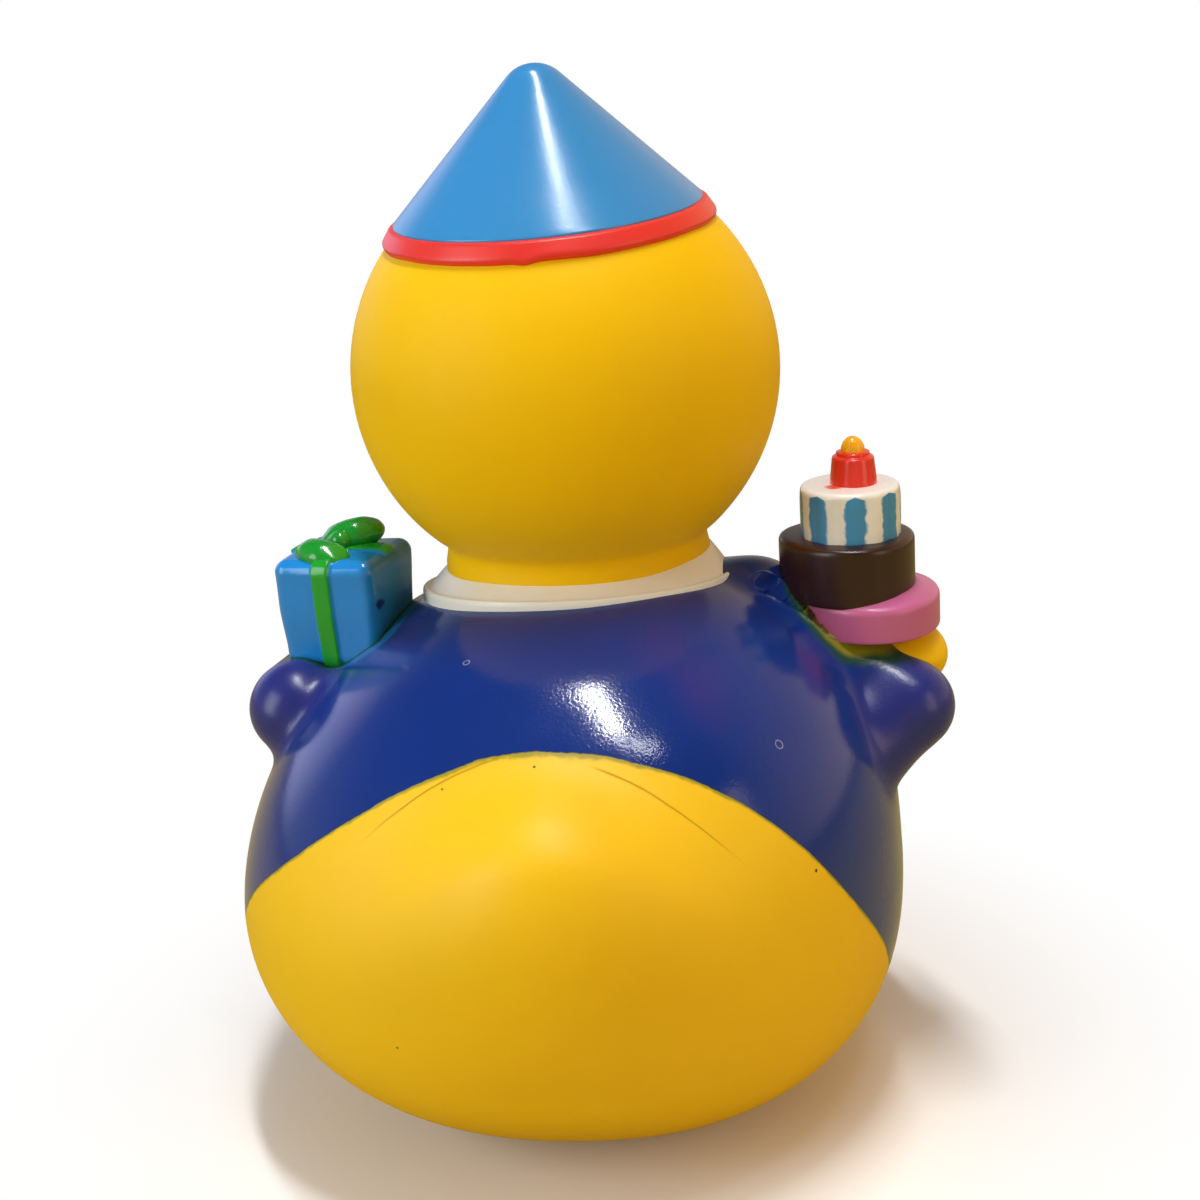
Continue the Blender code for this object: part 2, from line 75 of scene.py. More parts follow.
# Hem of the painted shirt: angles round the body, counted from the tail towards the duck's left, and heights
HEM_CENTRE = np.array([0, 8]) * MM
HEM_POINTS = (
    (-180, 8), (-115, 9), (-98, 13), (-84, 21.4), (-70, 29.8), (-62, 35.4), (-51, 40.1), (-39, 42.6),
    (-21, 44), (5, 44.4), (26, 43.9), (46, 41.3), (60, 37), (72, 31.8), (81, 28), (98, 17), (115, 11),
    (180, 8),
)
HEM_ANGLES = np.radians([angle for angle, height in HEM_POINTS])
HEM_HEIGHTS = np.array([height for angle, height in HEM_POINTS]) * MM
HEM_SMOOTHING = math.radians(5)
HEM_SAMPLES = 7
HEM_SLANT = 0.8
TAIL_CLEAR_Y = 24 * MM

# Dark specks in the vinyl, lint in the paint, and purple streaks on the navy that are painted reflections
SPECKS = in_mm(
    (1, 21.8, 43.5), (9.3, 21.8, 41.5), (-21.7, 18.9, 34.3), (-23.2, 18.5, 31.3), (14.2, 28.4, 19.8)
)
SPECK_RADIUS = 0.16 * MM
LINT = in_mm((-6, 15.9, 47), (-8.3, 14.2, 47.7), (2.3, 19, 45.2))
LINT_RADIUS = 0.12 * MM
# Each hair: where it lies, and the side on which its small loop is open
HAIRS = [in_mm((8.3, 10.1, 49.0), (0.3, -0.6, 0.3)), in_mm((-20.2, 14.3, 41.8), (0.6, 0.2, 0.6))]
HAIR_RADIUS = 0.45 * MM
# Each painted reflection streak: place and radius in mm, stretch, strength
REFLECTION_STREAKS = [
    ((-13.4, 13, 46.9), 2.2, (1, 1.4, 3.0), 0.35),
    ((-9.5, 8, 49.5), 1.8, (1, 2.6, 1), 0.3),
    ((-24, 2, 44.5), 1.4, (0.8, 1, 2.4), 0.6),
    ((15.5, 1, 48.7), 1.5, (1.6, 2.4, 1), 0.35),
    ((20, 9, 44), 1.6, (1, 1.5, 2.2), 0.25),
]

# Neck, head and collar
NECK_X = -0.1 * MM
NECK_Y = -12.5 * MM
NECK_RADIUS = 13.3 * MM
NECK_FLARE = 0.8 * MM
NECK_FOOT_Z = 44 * MM
COLLAR_Z = 54.5 * MM
COLLAR_WIDTH = 3.1 * MM
COLLAR_SLOPE = 0.55
COLLAR_FALL = (0.5 * MM, 2.1 * MM)
COLLAR_LEAN = (0.5 * MM, 0.2 * MM)
COLLAR_LIP = 0.3 * MM
COLLAR_DEPTH = 3.4 * MM
HEAD_RADIUS = 21.5 * MM
HEAD_Z = 72.3 * MM
HEAD_CENTRE = Vector((NECK_X, NECK_Y, HEAD_Z))

# Crease on either side of the tail: its height at the middle, how fast it falls away from there, and its ends
CREASE_LEFT = (44.3 * MM, 0.0257 / MM)
CREASE_RIGHT = (43.7 * MM, 0.0325 / MM)
CREASE_START = 3.5 * MM
CREASE_START_FADE = 2 * MM
CREASE_END = 18 * MM
CREASE_END_FADE = 5 * MM
CREASE_FRONT_Y = 12 * MM

# Hat
HAT_TILT_BACK = math.radians(5)
HAT_TILT_SIDE = math.radians(1.5)
HAT_BAND_RADIUS = 16.1 * MM
HAT_BAND_HEIGHT = 2.0 * MM
HAT_BAND_PROUD = 0.4 * MM
HAT_BASE_RADIUS = 15.2 * MM
HAT_HALF_ANGLE = math.radians(44.8)
HAT_TIP_RADIUS = 3.6 * MM
HAT_TIP_CLEARANCE = 0.1 * MM

# Face
BILL_CENTRE = Vector((0, -33.45, 67)) * MM
UPPER_BILL = Vector((8.4, 8.6, 3.0)) * MM
LOWER_BILL = Vector((6.8, 6.6, 2.4)) * MM
BILL_GAPE = 3.0 * MM
BILL_TILT = math.radians(-12)
EYE = Vector((3.3, 1.2, 4.4)) * MM
PUPIL_RADIUS = 2.3 * MM
GLINT_RADIUS = 0.75 * MM
EYE_AZIMUTH = math.radians(24)
EYE_ELEVATION = math.radians(20)

# Arms: joints with the elbow first, the radius at each, and the width of the fillet with the torso
LEFT_ARM = (in_mm((28.8, -3, 40.5), (23, -4, 37), (27.5, -16, 41)), in_mm(5, 6, 4), 2.2 * MM)
RIGHT_SHOULDER = (in_mm((-33.1, -4, 38.4), (-18.6, -12, 47)), in_mm(4.3, 4.8), 4 * MM)
RIGHT_ARM = (in_mm((-33.1, -4, 38.4), (-32.8, -8, 38), (-27.5, -2, 34.5)), in_mm(4.3, 4, 5.5), 1.5 * MM)
RIGHT_RIDGE = (
    in_mm((-23.5, -6, 48.9), (-19.5, -7.5, 50.8), (-26.6, -5, 46.2)), in_mm(1.1, 1.4, 1.5), 0.8 * MM
)
LEFT_HAND = Vector((26, -18, 43)) * MM
RIGHT_HAND = Vector((-32.2, -10.3, 41.8)) * MM
LEFT_PALM = Vector((4, 4, 4)) * MM
RIGHT_PALM = Vector((5.4, 6.5, 3.6)) * MM

# Present
GIFT_CENTRE = Vector((23.9, -9, 49.9)) * MM
GIFT_SIZE = 11.3 * MM
GIFT_YAW = math.radians(-12)
GIFT_EDGE = 1.4 * MM
GIFT_TAPER = 0.07
RIBBON_WIDTH = 2.0 * MM
RIBBON_PROUD = 0.4 * MM
GIFT_CELLS = 84
GIFT_SMEAR = Vector((18.3, -3.8, 51.0)) * MM
GIFT_CHIP = Vector((18.0, -5.6, 52.1)) * MM
GIFT_NICK = Vector((28.6, -2.7, 45.6)) * MM
# The bow, each lump with its place on the present's top, half sizes in mm, swing and tilt in degrees
BOW = (
    ("bow_back", (-0.5, -1.6, 1.0), (3.5, 2.1, 1.7), 28, 10),
    ("bow_front", (0.8, 3.0, 0.2), (3.2, 2.1, 1.5), -12, -8),
    ("bow_knot", (0, 0.2, 0.9), (1.2, 1.3, 1.1), 0, 0),
)

# Cake
CAKE_CENTRE = Vector((-28.5, -10, 44.6)) * MM
TIER_SHIFTS = in_mm(-1.2, 0.8, 0.4)
TIER_RADII = in_mm(7.4, 6.7, 5.0)
TIER_HEIGHTS = in_mm(5.0, 5.3, 5.1)
CAKE_TOP = sum(TIER_HEIGHTS)
TIER_SAGS = in_mm(0.8, 0.2, 0.1)
TIER_SINKS = in_mm(-0.7, 0.9, 0.9)
CANDLE_RADIUS = 2.4 * MM
CANDLE_TOP_RADIUS = 2.1 * MM
CANDLE_KNOB_RADIUS = 1.7 * MM
CANDLE_KNOB_HEIGHT = 0.4 * MM
CANDLE_HEIGHT = 3.2 * MM
FLAME = Vector((1.2, 1.2, 1.5)) * MM
OVERLAP = 1.5 * MM
FLUTES = 12
STRIPES = 8
STRIPE_TURN = math.radians(-3.5)

# Camera, set by laying renders of the part over the photograph
CAMERA_AZIMUTH = math.radians(7.5)
CAMERA_DISTANCE = 168 * MM
CAMERA_HEIGHT = 103 * MM
CAMERA_PITCH = math.radians(17)
CAMERA_ROLL = math.radians(-4)
CAMERA_YAW = -0.02
CAMERA_LENS = 54
SENSOR_WIDTH = 36


# Fields and meshes

def egg(points, centre, low, high, fullness):
    """Distance, close to the skin, from an ellipsoid whose half-axes differ on either side of its centre."""
    local = points - centre
    half = np.where(local < 0, np.array(low), np.array(high))
    part = np.abs(local) / half
    size = (part**fullness).sum(axis=-1) ** (1 / fullness) + TINY
    slope = norm(part ** (fullness - 1) / half, axis=-1) * size ** (1 - fullness) + TINY
    return (size - 1) / slope


def limb(points, start, end, start_radius, end_radius):
    """Distance from a rod with round ends whose radius changes evenly along it."""
    axis = end - start
    along = np.clip((points - start) @ axis / (axis @ axis), 0, 1)
    core = start + along[..., None] * axis
    return norm(points - core, axis=-1) - (start_radius + along * (end_radius - start_radius))


def blend(first, second, width):
    """Joins two fields with a fillet."""
    share = np.clip(0.5 + (second - first) / (2 * width), 0, 1)
    return second + (first - second) * share - width * share * (1 - share)


def smooth_step(value):
    value = np.clip(value, 0, 1)
    return value * value * (3 - 2 * value)


def wrapped(angle):
    """The same angle, between minus and plus half a turn."""
    return (angle + math.pi) % (2 * math.pi) - math.pi


def rays(azimuth, elevation):
    """Unit vectors at an azimuth counted from +Y towards +X, and at an elevation above the horizon."""
    flat = np.cos(elevation)
    return np.stack([np.sin(azimuth) * flat, np.cos(azimuth) * flat, np.sin(elevation)], axis=-1)


def reach(field, centre, directions):
    """How far each ray goes from the centre before the field turns positive, by halving."""
    near = np.zeros(directions.shape[:-1])
    far = np.full(directions.shape[:-1], REACH)
    for _ in range(HALVINGS):
        middle = (near + far) / 2
        inside = field(centre + middle[..., None] * directions) < 0
        near = np.where(inside, middle, near)
        far = np.where(inside, far, middle)
    return near


def body_field(points):
    """The egg of the torso, whose middle line bows to one side and which narrows above its centre."""
    local = points - BODY_CENTRE
    height = local[..., 2]
    bow = BODY_BOW * (np.hypot(height, BODY_BOW_ROUNDING) - BODY_BOW_ROUNDING)
    across = (local[..., 0] + bow) / (1 - BODY_TAPER * np.maximum(height, 0))
    local = np.stack([across, local[..., 1], height], axis=-1)
    low = (BODY_HALF_WIDTH, BODY_FRONT, BODY_BELOW)
    high = (BODY_HALF_WIDTH, BODY_BACK, BODY_TOP)
    return egg(local + BODY_CENTRE, BODY_CENTRE, low, high, BODY_FULLNESS)


def beside(azimuth):
    """Angle to either side of the tail's ridge, up to the ends of the lip."""
    return np.minimum(np.abs(wrapped(azimuth)), TAIL_HALF_SPAN)


def tail_lip(azimuth, elevation):
    """How far the tail stands out of the body along each ray."""
    crest = TAIL_END - TAIL_DROP - TAIL_ARCH * beside(azimuth) ** 2
    lift = TAIL_LIFT * (1 - smooth_step(beside(azimuth) / TAIL_HALF_SPAN)) ** TAIL_FALL
    swell = smooth_step((elevation - TAIL_FOOT) / (crest - TAIL_FOOT))
    return lift * np.where(elevation < crest, swell, 1 - smooth_step((elevation - crest) / TAIL_DROP))


def torso_field(points):
    """How far each point lies outside the torso, measured along the ray that cast it."""
    local = points - CAST_CENTRE
    distance = norm(local, axis=-1) + TINY
    directions = local / distance[..., None]
    azimuth = np.arctan2(directions[..., 0], directions[..., 1])
    elevation = np.arcsin(np.clip(directions[..., 2], -1, 1))
    return distance - reach(body_field, CAST_CENTRE, directions) - tail_lip(azimuth, elevation)


def sleeve_field(points, joints, radii):
    """A limb from the elbow, which is the first joint, to each of the others."""
    limbs = [limb(points, joints[0], joint, radii[0], radius) for joint, radius in zip(joints[1:], radii[1:])]
    return np.minimum.reduce(limbs)


def skin_field(points):
    """The torso with both sleeves and the ridge beside the cake, each with a fillet of its own."""
    whole = torso_field(points)
    for joints, radii, fillet in (LEFT_ARM, RIGHT_SHOULDER, RIGHT_ARM, RIGHT_RIDGE):
        whole = blend(whole, sleeve_field(points, joints, radii), fillet)
    return whole + SKIN_INSET


def grid_mesh(name, rings):
    """A closed mesh from rings of points, of which the first and the last are single points."""
    columns = len(rings[1])
    points = [tuple(rings[0])] + [tuple(p) for ring in rings[1:-1] for p in ring] + [tuple(rings[-1])]
    faces = []
    last = len(points) - 1
    for column in range(columns):
        after = (column + 1) % columns
        faces.append((0, 1 + after, 1 + column))
        for ring in range(len(rings) - 3):
            a = 1 + ring * columns
            b = a + columns
            faces.append((a + column, a + after, b + after, b + column))
        faces.append((last, last - columns + column, last - columns + after))
    mesh = bpy.data.meshes.new(name)
    mesh.from_pydata(points, [], faces)
    mesh.update()
    return mesh


def add_object(name, data):
    new = bpy.data.objects.new(name, data)
    bpy.context.scene.collection.objects.link(new)
    return new


def piece(mesh, paint):
    """Puts a mesh into the scene as a piece of the duck, under its own name and with its faces outwards."""
    bm = bmesh.new()
    bm.from_mesh(mesh)
    bmesh.ops.recalc_face_normals(bm, faces=bm.faces)
    bm.to_mesh(mesh)
    bm.free()
    mesh.shade_smooth()
    mesh.materials.append(paint)
    new = add_object(mesh.name, mesh)
    new.location = FRAME_SHIFT
    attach(new, "root")
    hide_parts("duck_body")
    return new


def points_of(mesh):
    flat = np.empty(len(mesh.vertices) * 3)
    mesh.vertices.foreach_get("co", flat)
    return flat.reshape(-1, 3)


def set_points(mesh, points):
    mesh.vertices.foreach_set("co", points.ravel())
    mesh.update()


def wobble(points, size, seed):
    """Soft noise between -1 and 1 at each point, with bumps of about the given size."""
    offset = Vector((seed * 7.3, seed * 3.1, seed * 5.7))
    return np.array([noise.noise(Vector(p) / size + offset) for p in points])


def ring_wobble(turn, size, height):
    """Soft noise between -1 and 1 round a ring, with bumps of about the given size if its radius is 1."""
    return np.array([noise.noise(Vector((math.cos(t), math.sin(t), height)) / size) for t in turn])


def cast_mesh(name, field, centre, columns, rows):
    azimuth, elevation = np.meshgrid(
        np.arange(columns) * 2 * math.pi / columns, np.linspace(-math.pi / 2, math.pi / 2, rows + 2)[1:-1]
    )
    directions = rays(azimuth, elevation)
    body = centre + reach(field, centre, directions)[..., None] * directions
    poles = rays(np.zeros(2), np.array([-math.pi / 2, math.pi / 2]))
    ends = centre + reach(field, centre, poles)[..., None] * poles
    return grid_mesh(name, [ends[0], *body, ends[1]])


def rounded(corners, default_radius, arc_steps=6):
    """A polyline with an arc at each inner corner. A corner may carry its own radius as a third number."""
    points = [np.array(corners[0][:2], float)]
    for before, corner, after in zip(corners, corners[1:], corners[2:]):
        here = np.array(corner[:2], float)
        radius = corner[2] if len(corner) > 2 else default_radius
        back = np.array(before[:2]) - here
        on = np.array(after[:2]) - here
        back_length = norm(back)
        on_length = norm(on)
        back /= back_length
        on /= on_length
        half = math.acos(np.clip(back @ on, -1, 1)) / 2
        if radius <= 0 or half > math.pi / 2 - NEARLY_STRAIGHT:
            points.append(here)
            continue
        room = back_length if before is corners[0] else back_length / 2
        cut = min(radius / math.tan(half), room, on_length / 2)
        for share in np.linspace(0, 1, arc_steps + 1):
            points.append(here + cut * ((1 - share) ** 2 * back + share**2 * on))
    points.append(np.array(corners[-1][:2], float))
    return points


def dense(points, spacing):
    """The same line with no step longer than the spacing."""
    result = [points[0]]
    for before, after in zip(points, points[1:]):
        count = max(1, int(math.ceil(norm(after - before) / spacing)))
        result.extend(before + (after - before) * (i + 1) / count for i in range(count))
    return result


def revolved(name, corners, rounding, steps, place, spacing=0.5 * MM, shape=None):
    """Spins a (radius, height) line that starts and ends on the axis, and may bend each ring with shape()."""
    line = dense(rounded(corners, rounding), spacing)
    turn = np.arange(steps) * 2 * math.pi / steps
    rings = [np.array([0, 0, line[0][1]])]
    for radius, height in line[1:-1]:
        radii = np.full(steps, radius)
        heights = np.full(steps, height)
        if shape:
            radii, heights = shape(turn, radii, heights)
        rings.append(np.stack([radii * np.sin(turn), radii * np.cos(turn), heights], axis=-1))
    rings.append(np.array([0, 0, line[-1][1]]))
    mesh = grid_mesh(name, rings)
    mesh.transform(place)
    return mesh


# Shader building

class Nodes:
    """Builds the nodes of one tree."""

    def __init__(self, tree):
        self.tree = tree

    def node(self, kind, **settings):
        new = self.tree.nodes.new(kind)
        for name, value in settings.items():
            setattr(new, name, value)
        return new

    def link(self, value, socket):
        """Feeds a socket from another one, or gives it a plain value."""
        if isinstance(value, bpy.types.NodeSocket):
            self.tree.links.new(value, socket)
        else:
            socket.default_value = value

    def compute(self, operation, first, second=0.0, third=0.0):
        new = self.node("ShaderNodeMath", operation=operation)
        for value, socket in zip((first, second, third), new.inputs):
            self.link(value, socket)
        return new.outputs[0]

    def vector(self, operation, first, second=(0, 0, 0)):
        new = self.node("ShaderNodeVectorMath", operation=operation)
        self.link(first, new.inputs[0])
        self.link(second, new.inputs[1])
        return new.outputs["Value" if operation in ("DOT_PRODUCT", "LENGTH") else "Vector"]

    def ramp(self, value, low, high, interpolation="SMOOTHSTEP"):
        """0 at the low value and 1 at the high one."""
        new = self.node("ShaderNodeMapRange", interpolation_type=interpolation)
        self.link(value, new.inputs["Value"])
        new.inputs["From Min"].default_value = low
        new.inputs["From Max"].default_value = high
        return new.outputs["Result"]

    def mix(self, share, first, second, kind="MIX"):
        """Mixes two colours."""
        new = self.node("ShaderNodeMix", data_type="RGBA", blend_type=kind)
        self.link(share, new.inputs[0])
        for value, socket in ((first, new.inputs[6]), (second, new.inputs[7])):
            self.link((*value, 1) if isinstance(value, tuple) else value, socket)
        return new.outputs[2]

    def mix_shaders(self, share, first, second):
        new = self.node("ShaderNodeMixShader")
        for value, socket in zip((share, first, second), new.inputs):
            self.link(value, socket)
        return new.outputs[0]


class Paint(Nodes):
    """A material that is built up in layers, each with its own mask, colour and roughness."""

    def __init__(self, name, colour, roughness, bump_size=0.0, bump_depth=0.0):
        self.material = bpy.data.materials.new(name)
        self.material.use_nodes = True
        super().__init__(self.material.node_tree)
        self.shader = self.tree.nodes["Principled BSDF"]
        self.coordinates = self.node("ShaderNodeTexCoord").outputs["Object"]
        self.colour = self.constant("ShaderNodeRGB", (*colour, 1))
        self.roughness = self.constant("ShaderNodeValue", roughness)
        self.height = None
        if bump_depth:
            self.add_bump(self.noise(bump_size, 2), bump_depth)

    def constant(self, kind, value):
        new = self.node(kind)
        new.outputs[0].default_value = value
        return new.outputs[0]

    def times(self, first, second):
        return self.compute("MULTIPLY", first, second)

    def minus(self, value):
        return self.compute("SUBTRACT", 0.0, value)

    def noise(self, size, detail=2, offset=0.0):
        """Noise around one half, with bumps of about the given size."""
        new = self.node("ShaderNodeTexNoise", noise_dimensions="4D")
        self.link(self.coordinates, new.inputs["Vector"])
        new.inputs["W"].default_value = offset
        new.inputs["Scale"].default_value = 1 / size
        new.inputs["Detail"].default_value = detail
        return new.outputs["Fac"]

    def unevenness(self, size, amount, offset, middle=0.0):
        """Noise that strays from the middle by up to the amount."""
        return self.compute("MULTIPLY_ADD", self.noise(size, 3, offset), 2 * amount, middle - amount)

    def ragged(self, distance, amount, size, offset=0.0):
        """A distance made uneven, as a brush or a worn mask leaves an edge."""
        return self.compute("ADD", distance, self.unevenness(size, amount, offset))

    def below(self, distance, softness, edge=0.0):
        """1 where the distance is less than the edge, fading over the softness."""
        return self.ramp(distance, edge + softness / 2, edge - softness / 2)

    def ball(self, centre, radius, stretch=(1, 1, 1)):
        """Distance outside a stretched ball."""
        away = self.vector("SUBTRACT", self.coordinates, Vector(centre))
        away = self.vector("LENGTH", self.vector("DIVIDE", away, stretch))
        return self.compute("SUBTRACT", away, radius)

    def attribute(self, name):
        return self.node("ShaderNodeAttribute", attribute_name=name).outputs["Fac"]

    def layer(self, mask, colour, roughness=None):
        """Lays a colour, and a roughness, over what is there."""
        self.colour = self.mix(mask, self.colour, colour)
        if roughness is not None:
            blended = self.node("ShaderNodeMix")
            self.link(mask, blended.inputs[0])
            self.link(self.roughness, blended.inputs[2])
            blended.inputs[3].default_value = roughness
            self.roughness = blended.outputs[0]

    def patch(self, distance, softness, colour, roughness, edge=0.0):
        """Lays a colour where the distance is less than the edge."""
        self.layer(self.below(distance, softness, edge), colour, roughness)

    def mottle(self, size, amount, offset=0.0):
        """Varies the colour's brightness a little."""
        hue = self.node("ShaderNodeHueSaturation")
        self.link(self.unevenness(size, amount, offset, 1), hue.inputs["Value"])
        self.link(self.colour, hue.inputs["Color"])
        self.colour = hue.outputs["Color"]

    def vary_roughness(self, size, amount, offset=5.0):
        self.roughness = self.compute("ADD", self.roughness, self.unevenness(size, amount, offset))

    def add_bump(self, height, depth):
        """Adds a height, between 0 and 1, that stands for the given depth in metres."""
        height = self.times(height, depth)
        self.height = self.compute("ADD", self.height, height) if self.height is not None else height

    def done(self, subsurface=0.0, coat=0.0, specular=0.5):
        inputs = self.shader.inputs
        self.link(self.colour, inputs["Base Color"])
        self.link(self.roughness, inputs["Roughness"])
        inputs["Specular IOR Level"].default_value = specular
        if subsurface:
            inputs["Subsurface Weight"].default_value = subsurface
            inputs["Subsurface Radius"].default_value = (1.0, 0.5, 0.1)
            inputs["Subsurface Scale"].default_value = 1.2 * MM
        if coat:
            inputs["Coat Weight"].default_value = coat
            inputs["Coat Roughness"].default_value = 0.12
        if self.height is not None:
            bump = self.node("ShaderNodeBump")
            bump.inputs["Distance"].default_value = 1.0
            self.link(self.height, bump.inputs["Height"])
            self.link(bump.outputs["Normal"], inputs["Normal"])
        return self.material


YELLOW = (0.88, 0.55, 0.0005)
YELLOW_DEEP = (0.82, 0.44, 0.0005)
NAVY = (0.005, 0.024, 0.175)
NAVY_LIGHT = (0.010, 0.036, 0.24)
VIOLET_SHEEN = (0.035, 0.024, 0.18)
PURPLE_REFLECTION = (0.06, 0.025, 0.17)
SKY = (0.045, 0.27, 0.62)
SKY_DEEP = (0.02, 0.19, 0.48)
WRAP = (0.012, 0.26, 0.74)
WRAP_DEEP = (0.010, 0.20, 0.62)
TEAL_DARK = (0.012, 0.045, 0.085)
OVERSPRAY = (0.012, 0.12, 0.34)
RED = (0.80, 0.035, 0.025)
BAND_DEEP = (0.62, 0.02, 0.02)
CANDLE_DEEP = (0.55, 0.01, 0.01)
SMEAR_RED = (0.75, 0.10, 0.04)
CREAM = (0.88, 0.90, 0.88)
CREAM_DEEP = (0.84, 0.80, 0.70)
GREEN = (0.012, 0.34, 0.03)
GREEN_DEEP = (0.003, 0.16, 0.02)
GREEN_DARK = (0.01, 0.06, 0.03)
OLIVE = (0.22, 0.20, 0.008)
PINK = (0.54, 0.13, 0.30)
PINK_DEEP = (0.46, 0.09, 0.24)
CHOCOLATE = (0.024, 0.006, 0.004)
CHOCOLATE_DEEP = (0.035, 0.012, 0.007)
WHITE = (0.82, 0.80, 0.76)
BLUE_STRIPE = (0.04, 0.26, 0.52)
ORANGE = (0.85, 0.20, 0.01)
ORANGE_DEEP = (0.75, 0.13, 0.01)
FLAME_PAINT = (0.9, 0.45, 0.01)
FLAME_DEEP = (0.8, 0.3, 0.01)
EYE_WHITE = (0.85, 0.85, 0.82)
GLINT = (0.9, 0.9, 0.9)
BLACK = (0.008, 0.007, 0.006)
PALE = (0.6, 0.66, 0.75)
CREASE_SHADE = (0.40, 0.19, 0.0)
FRINGE = (0.16, 0.20, 0.01)


def bare_vinyl(name):
    """Matte yellow vinyl: fine grain, a slightly deeper tone in places."""
    paint = Paint(name, YELLOW, 0.52, 0.25 * MM, 0.006 * MM)
    paint.layer(paint.times(paint.noise(18 * MM, 2), 0.35), YELLOW_DEEP)
    paint.mottle(3 * MM, 0.02)
    paint.vary_roughness(6 * MM, 0.05)
    return paint


def crease_groove_and_shade(paint):
    """A thin broken line on either side of the tail, both cut in as a groove and darkened as painted shade.
    """
    line = paint.compute("ABSOLUTE", paint.ragged(paint.attribute("crease"), 0.08 * MM, 2.5 * MM, 8.0))
    return paint.times(paint.below(line, 0.14 * MM, 0.06 * MM), paint.attribute("crease_shown"))


def shirt_mask(paint):
    """Where the navy lies, with an uneven edge over the green-yellow fringe that it leaves on the hem."""
    edge = paint.ragged(paint.ragged(paint.attribute("hem"), 0.08 * MM, 0.7 * MM), 0.22 * MM, 6 * MM, 2.0)
    width = paint.times(paint.noise(1.6 * MM, 3, 11.0), 0.5 * MM)
    fringe = paint.minus(paint.compute("ADD", edge, width))
    paint.layer(paint.times(paint.below(fringe, 0.3 * MM), 0.75), FRINGE, 0.4)
    return paint.below(paint.minus(edge), 0.08 * MM)


def navy_coat(paint, shirt):
    """Glossy navy of uneven tone, duller on the sleeves under a painted violet sheen, with painted purple
    reflections.
    """
    paint.layer(shirt, paint.mix(paint.noise(14 * MM, 2, 3.0), NAVY, NAVY_LIGHT), 0.13)
    sleeves = paint.ragged(paint.attribute("sleeves"), 0.8 * MM, 4 * MM, 12.0)
    sleeves = paint.times(paint.below(sleeves, 2.5 * MM, 1.2 * MM), shirt)
    # Painted sheen: a violet tint over the sleeves, where the paint is also rougher
    paint.layer(paint.times(sleeves, 0.5), VIOLET_SHEEN, 0.45)
    # Painted reflections: purple streaks laid over the navy
    for centre, radius, stretch, strength in REFLECTION_STREAKS:
        painted_reflection = paint.ball(Vector(centre) * MM, radius * MM, stretch)
        painted_reflection = paint.ragged(painted_reflection, 1.2 * MM, 5 * MM)
        faded = paint.times(paint.below(painted_reflection, 4 * MM), strength)
        paint.layer(paint.times(faded, shirt), PURPLE_REFLECTION)


def lint_and_hairs(paint):
    """Pale dots, and hairs that are drawn as small loops with an open side."""
    for centre in LINT:
        paint.patch(paint.ball(centre, LINT_RADIUS), 0.08 * MM, PALE, 0.4)
    for centre, opening in HAIRS:
        loop = paint.compute("ABSOLUTE", paint.ball(centre, HAIR_RADIUS))
        drawn = paint.below(loop, 0.08 * MM, 0.04 * MM)
        gap = paint.ball(centre + opening, HAIR_RADIUS)
        kept = paint.below(paint.minus(gap), 0.1 * MM)
        paint.layer(paint.times(drawn, paint.times(kept, 0.4)), PALE, 0.5)


def brushed_slop(paint):
    """What the brush left on the shirt beside the present and the cake."""
    beside_gift = paint.ragged(paint.attribute("beside_gift"), 0.3 * MM, 2 * MM, 6.0)
    paint.patch(beside_gift, 0.5 * MM, OVERSPRAY, 0.25)
    gift = paint.ragged(paint.attribute("near_gift"), 0.2 * MM, 1 * MM, 6.0)
    paint.patch(gift, 0.2 * MM, GREEN_DARK, 0.25, 0.4 * MM)
    cake = paint.ragged(paint.attribute("near_cake"), 0.4 * MM, 2 * MM, 7.0)
    paint.patch(cake, 1.2 * MM, GREEN_DARK, 0.3, 1.4 * MM)
    paint.patch(cake, 0.8 * MM, OLIVE, 0.35, 0.5 * MM)


def skin_paint():
    """The torso: bare yellow below the hem, glossy navy above it, and what the brush left near the arms."""
    paint = bare_vinyl("shirt_paint")
    for centre in SPECKS:
        paint.patch(paint.ball(centre, SPECK_RADIUS), 0.1 * MM, BLACK, 0.5)
    line = crease_groove_and_shade(paint)
    # Painted shade: the crease line beside the tail darkened brown
    paint.layer(paint.times(line, 0.7), CREASE_SHADE)
    shirt = shirt_mask(paint)
    navy_coat(paint, shirt)
    lint_and_hairs(paint)
    paint.vary_roughness(4 * MM, 0.04, 9.0)
    paint.add_bump(line, -0.05 * MM)
    paint.add_bump(paint.times(paint.noise(0.26 * MM, 1, 4.0), shirt), 0.014 * MM)
    paint.add_bump(shirt, 0.05 * MM)
    brushed_slop(paint)
    return paint.done(subsurface=0.08, specular=0.4)


def simple_paint(name, colour, deep, roughness, coat=0.0, size=5 * MM, peel=0.008 * MM):
    """A brushed or sprayed coat with an uneven tone and a slight orange peel."""
    paint = Paint(name, colour, roughness, 0.5 * MM, peel)
    paint.layer(paint.times(paint.noise(size, 3), 0.5), deep)
    paint.mottle(1.2 * MM, 0.03)
    paint.vary_roughness(3 * MM, 0.05)
    return paint.done(coat=coat)


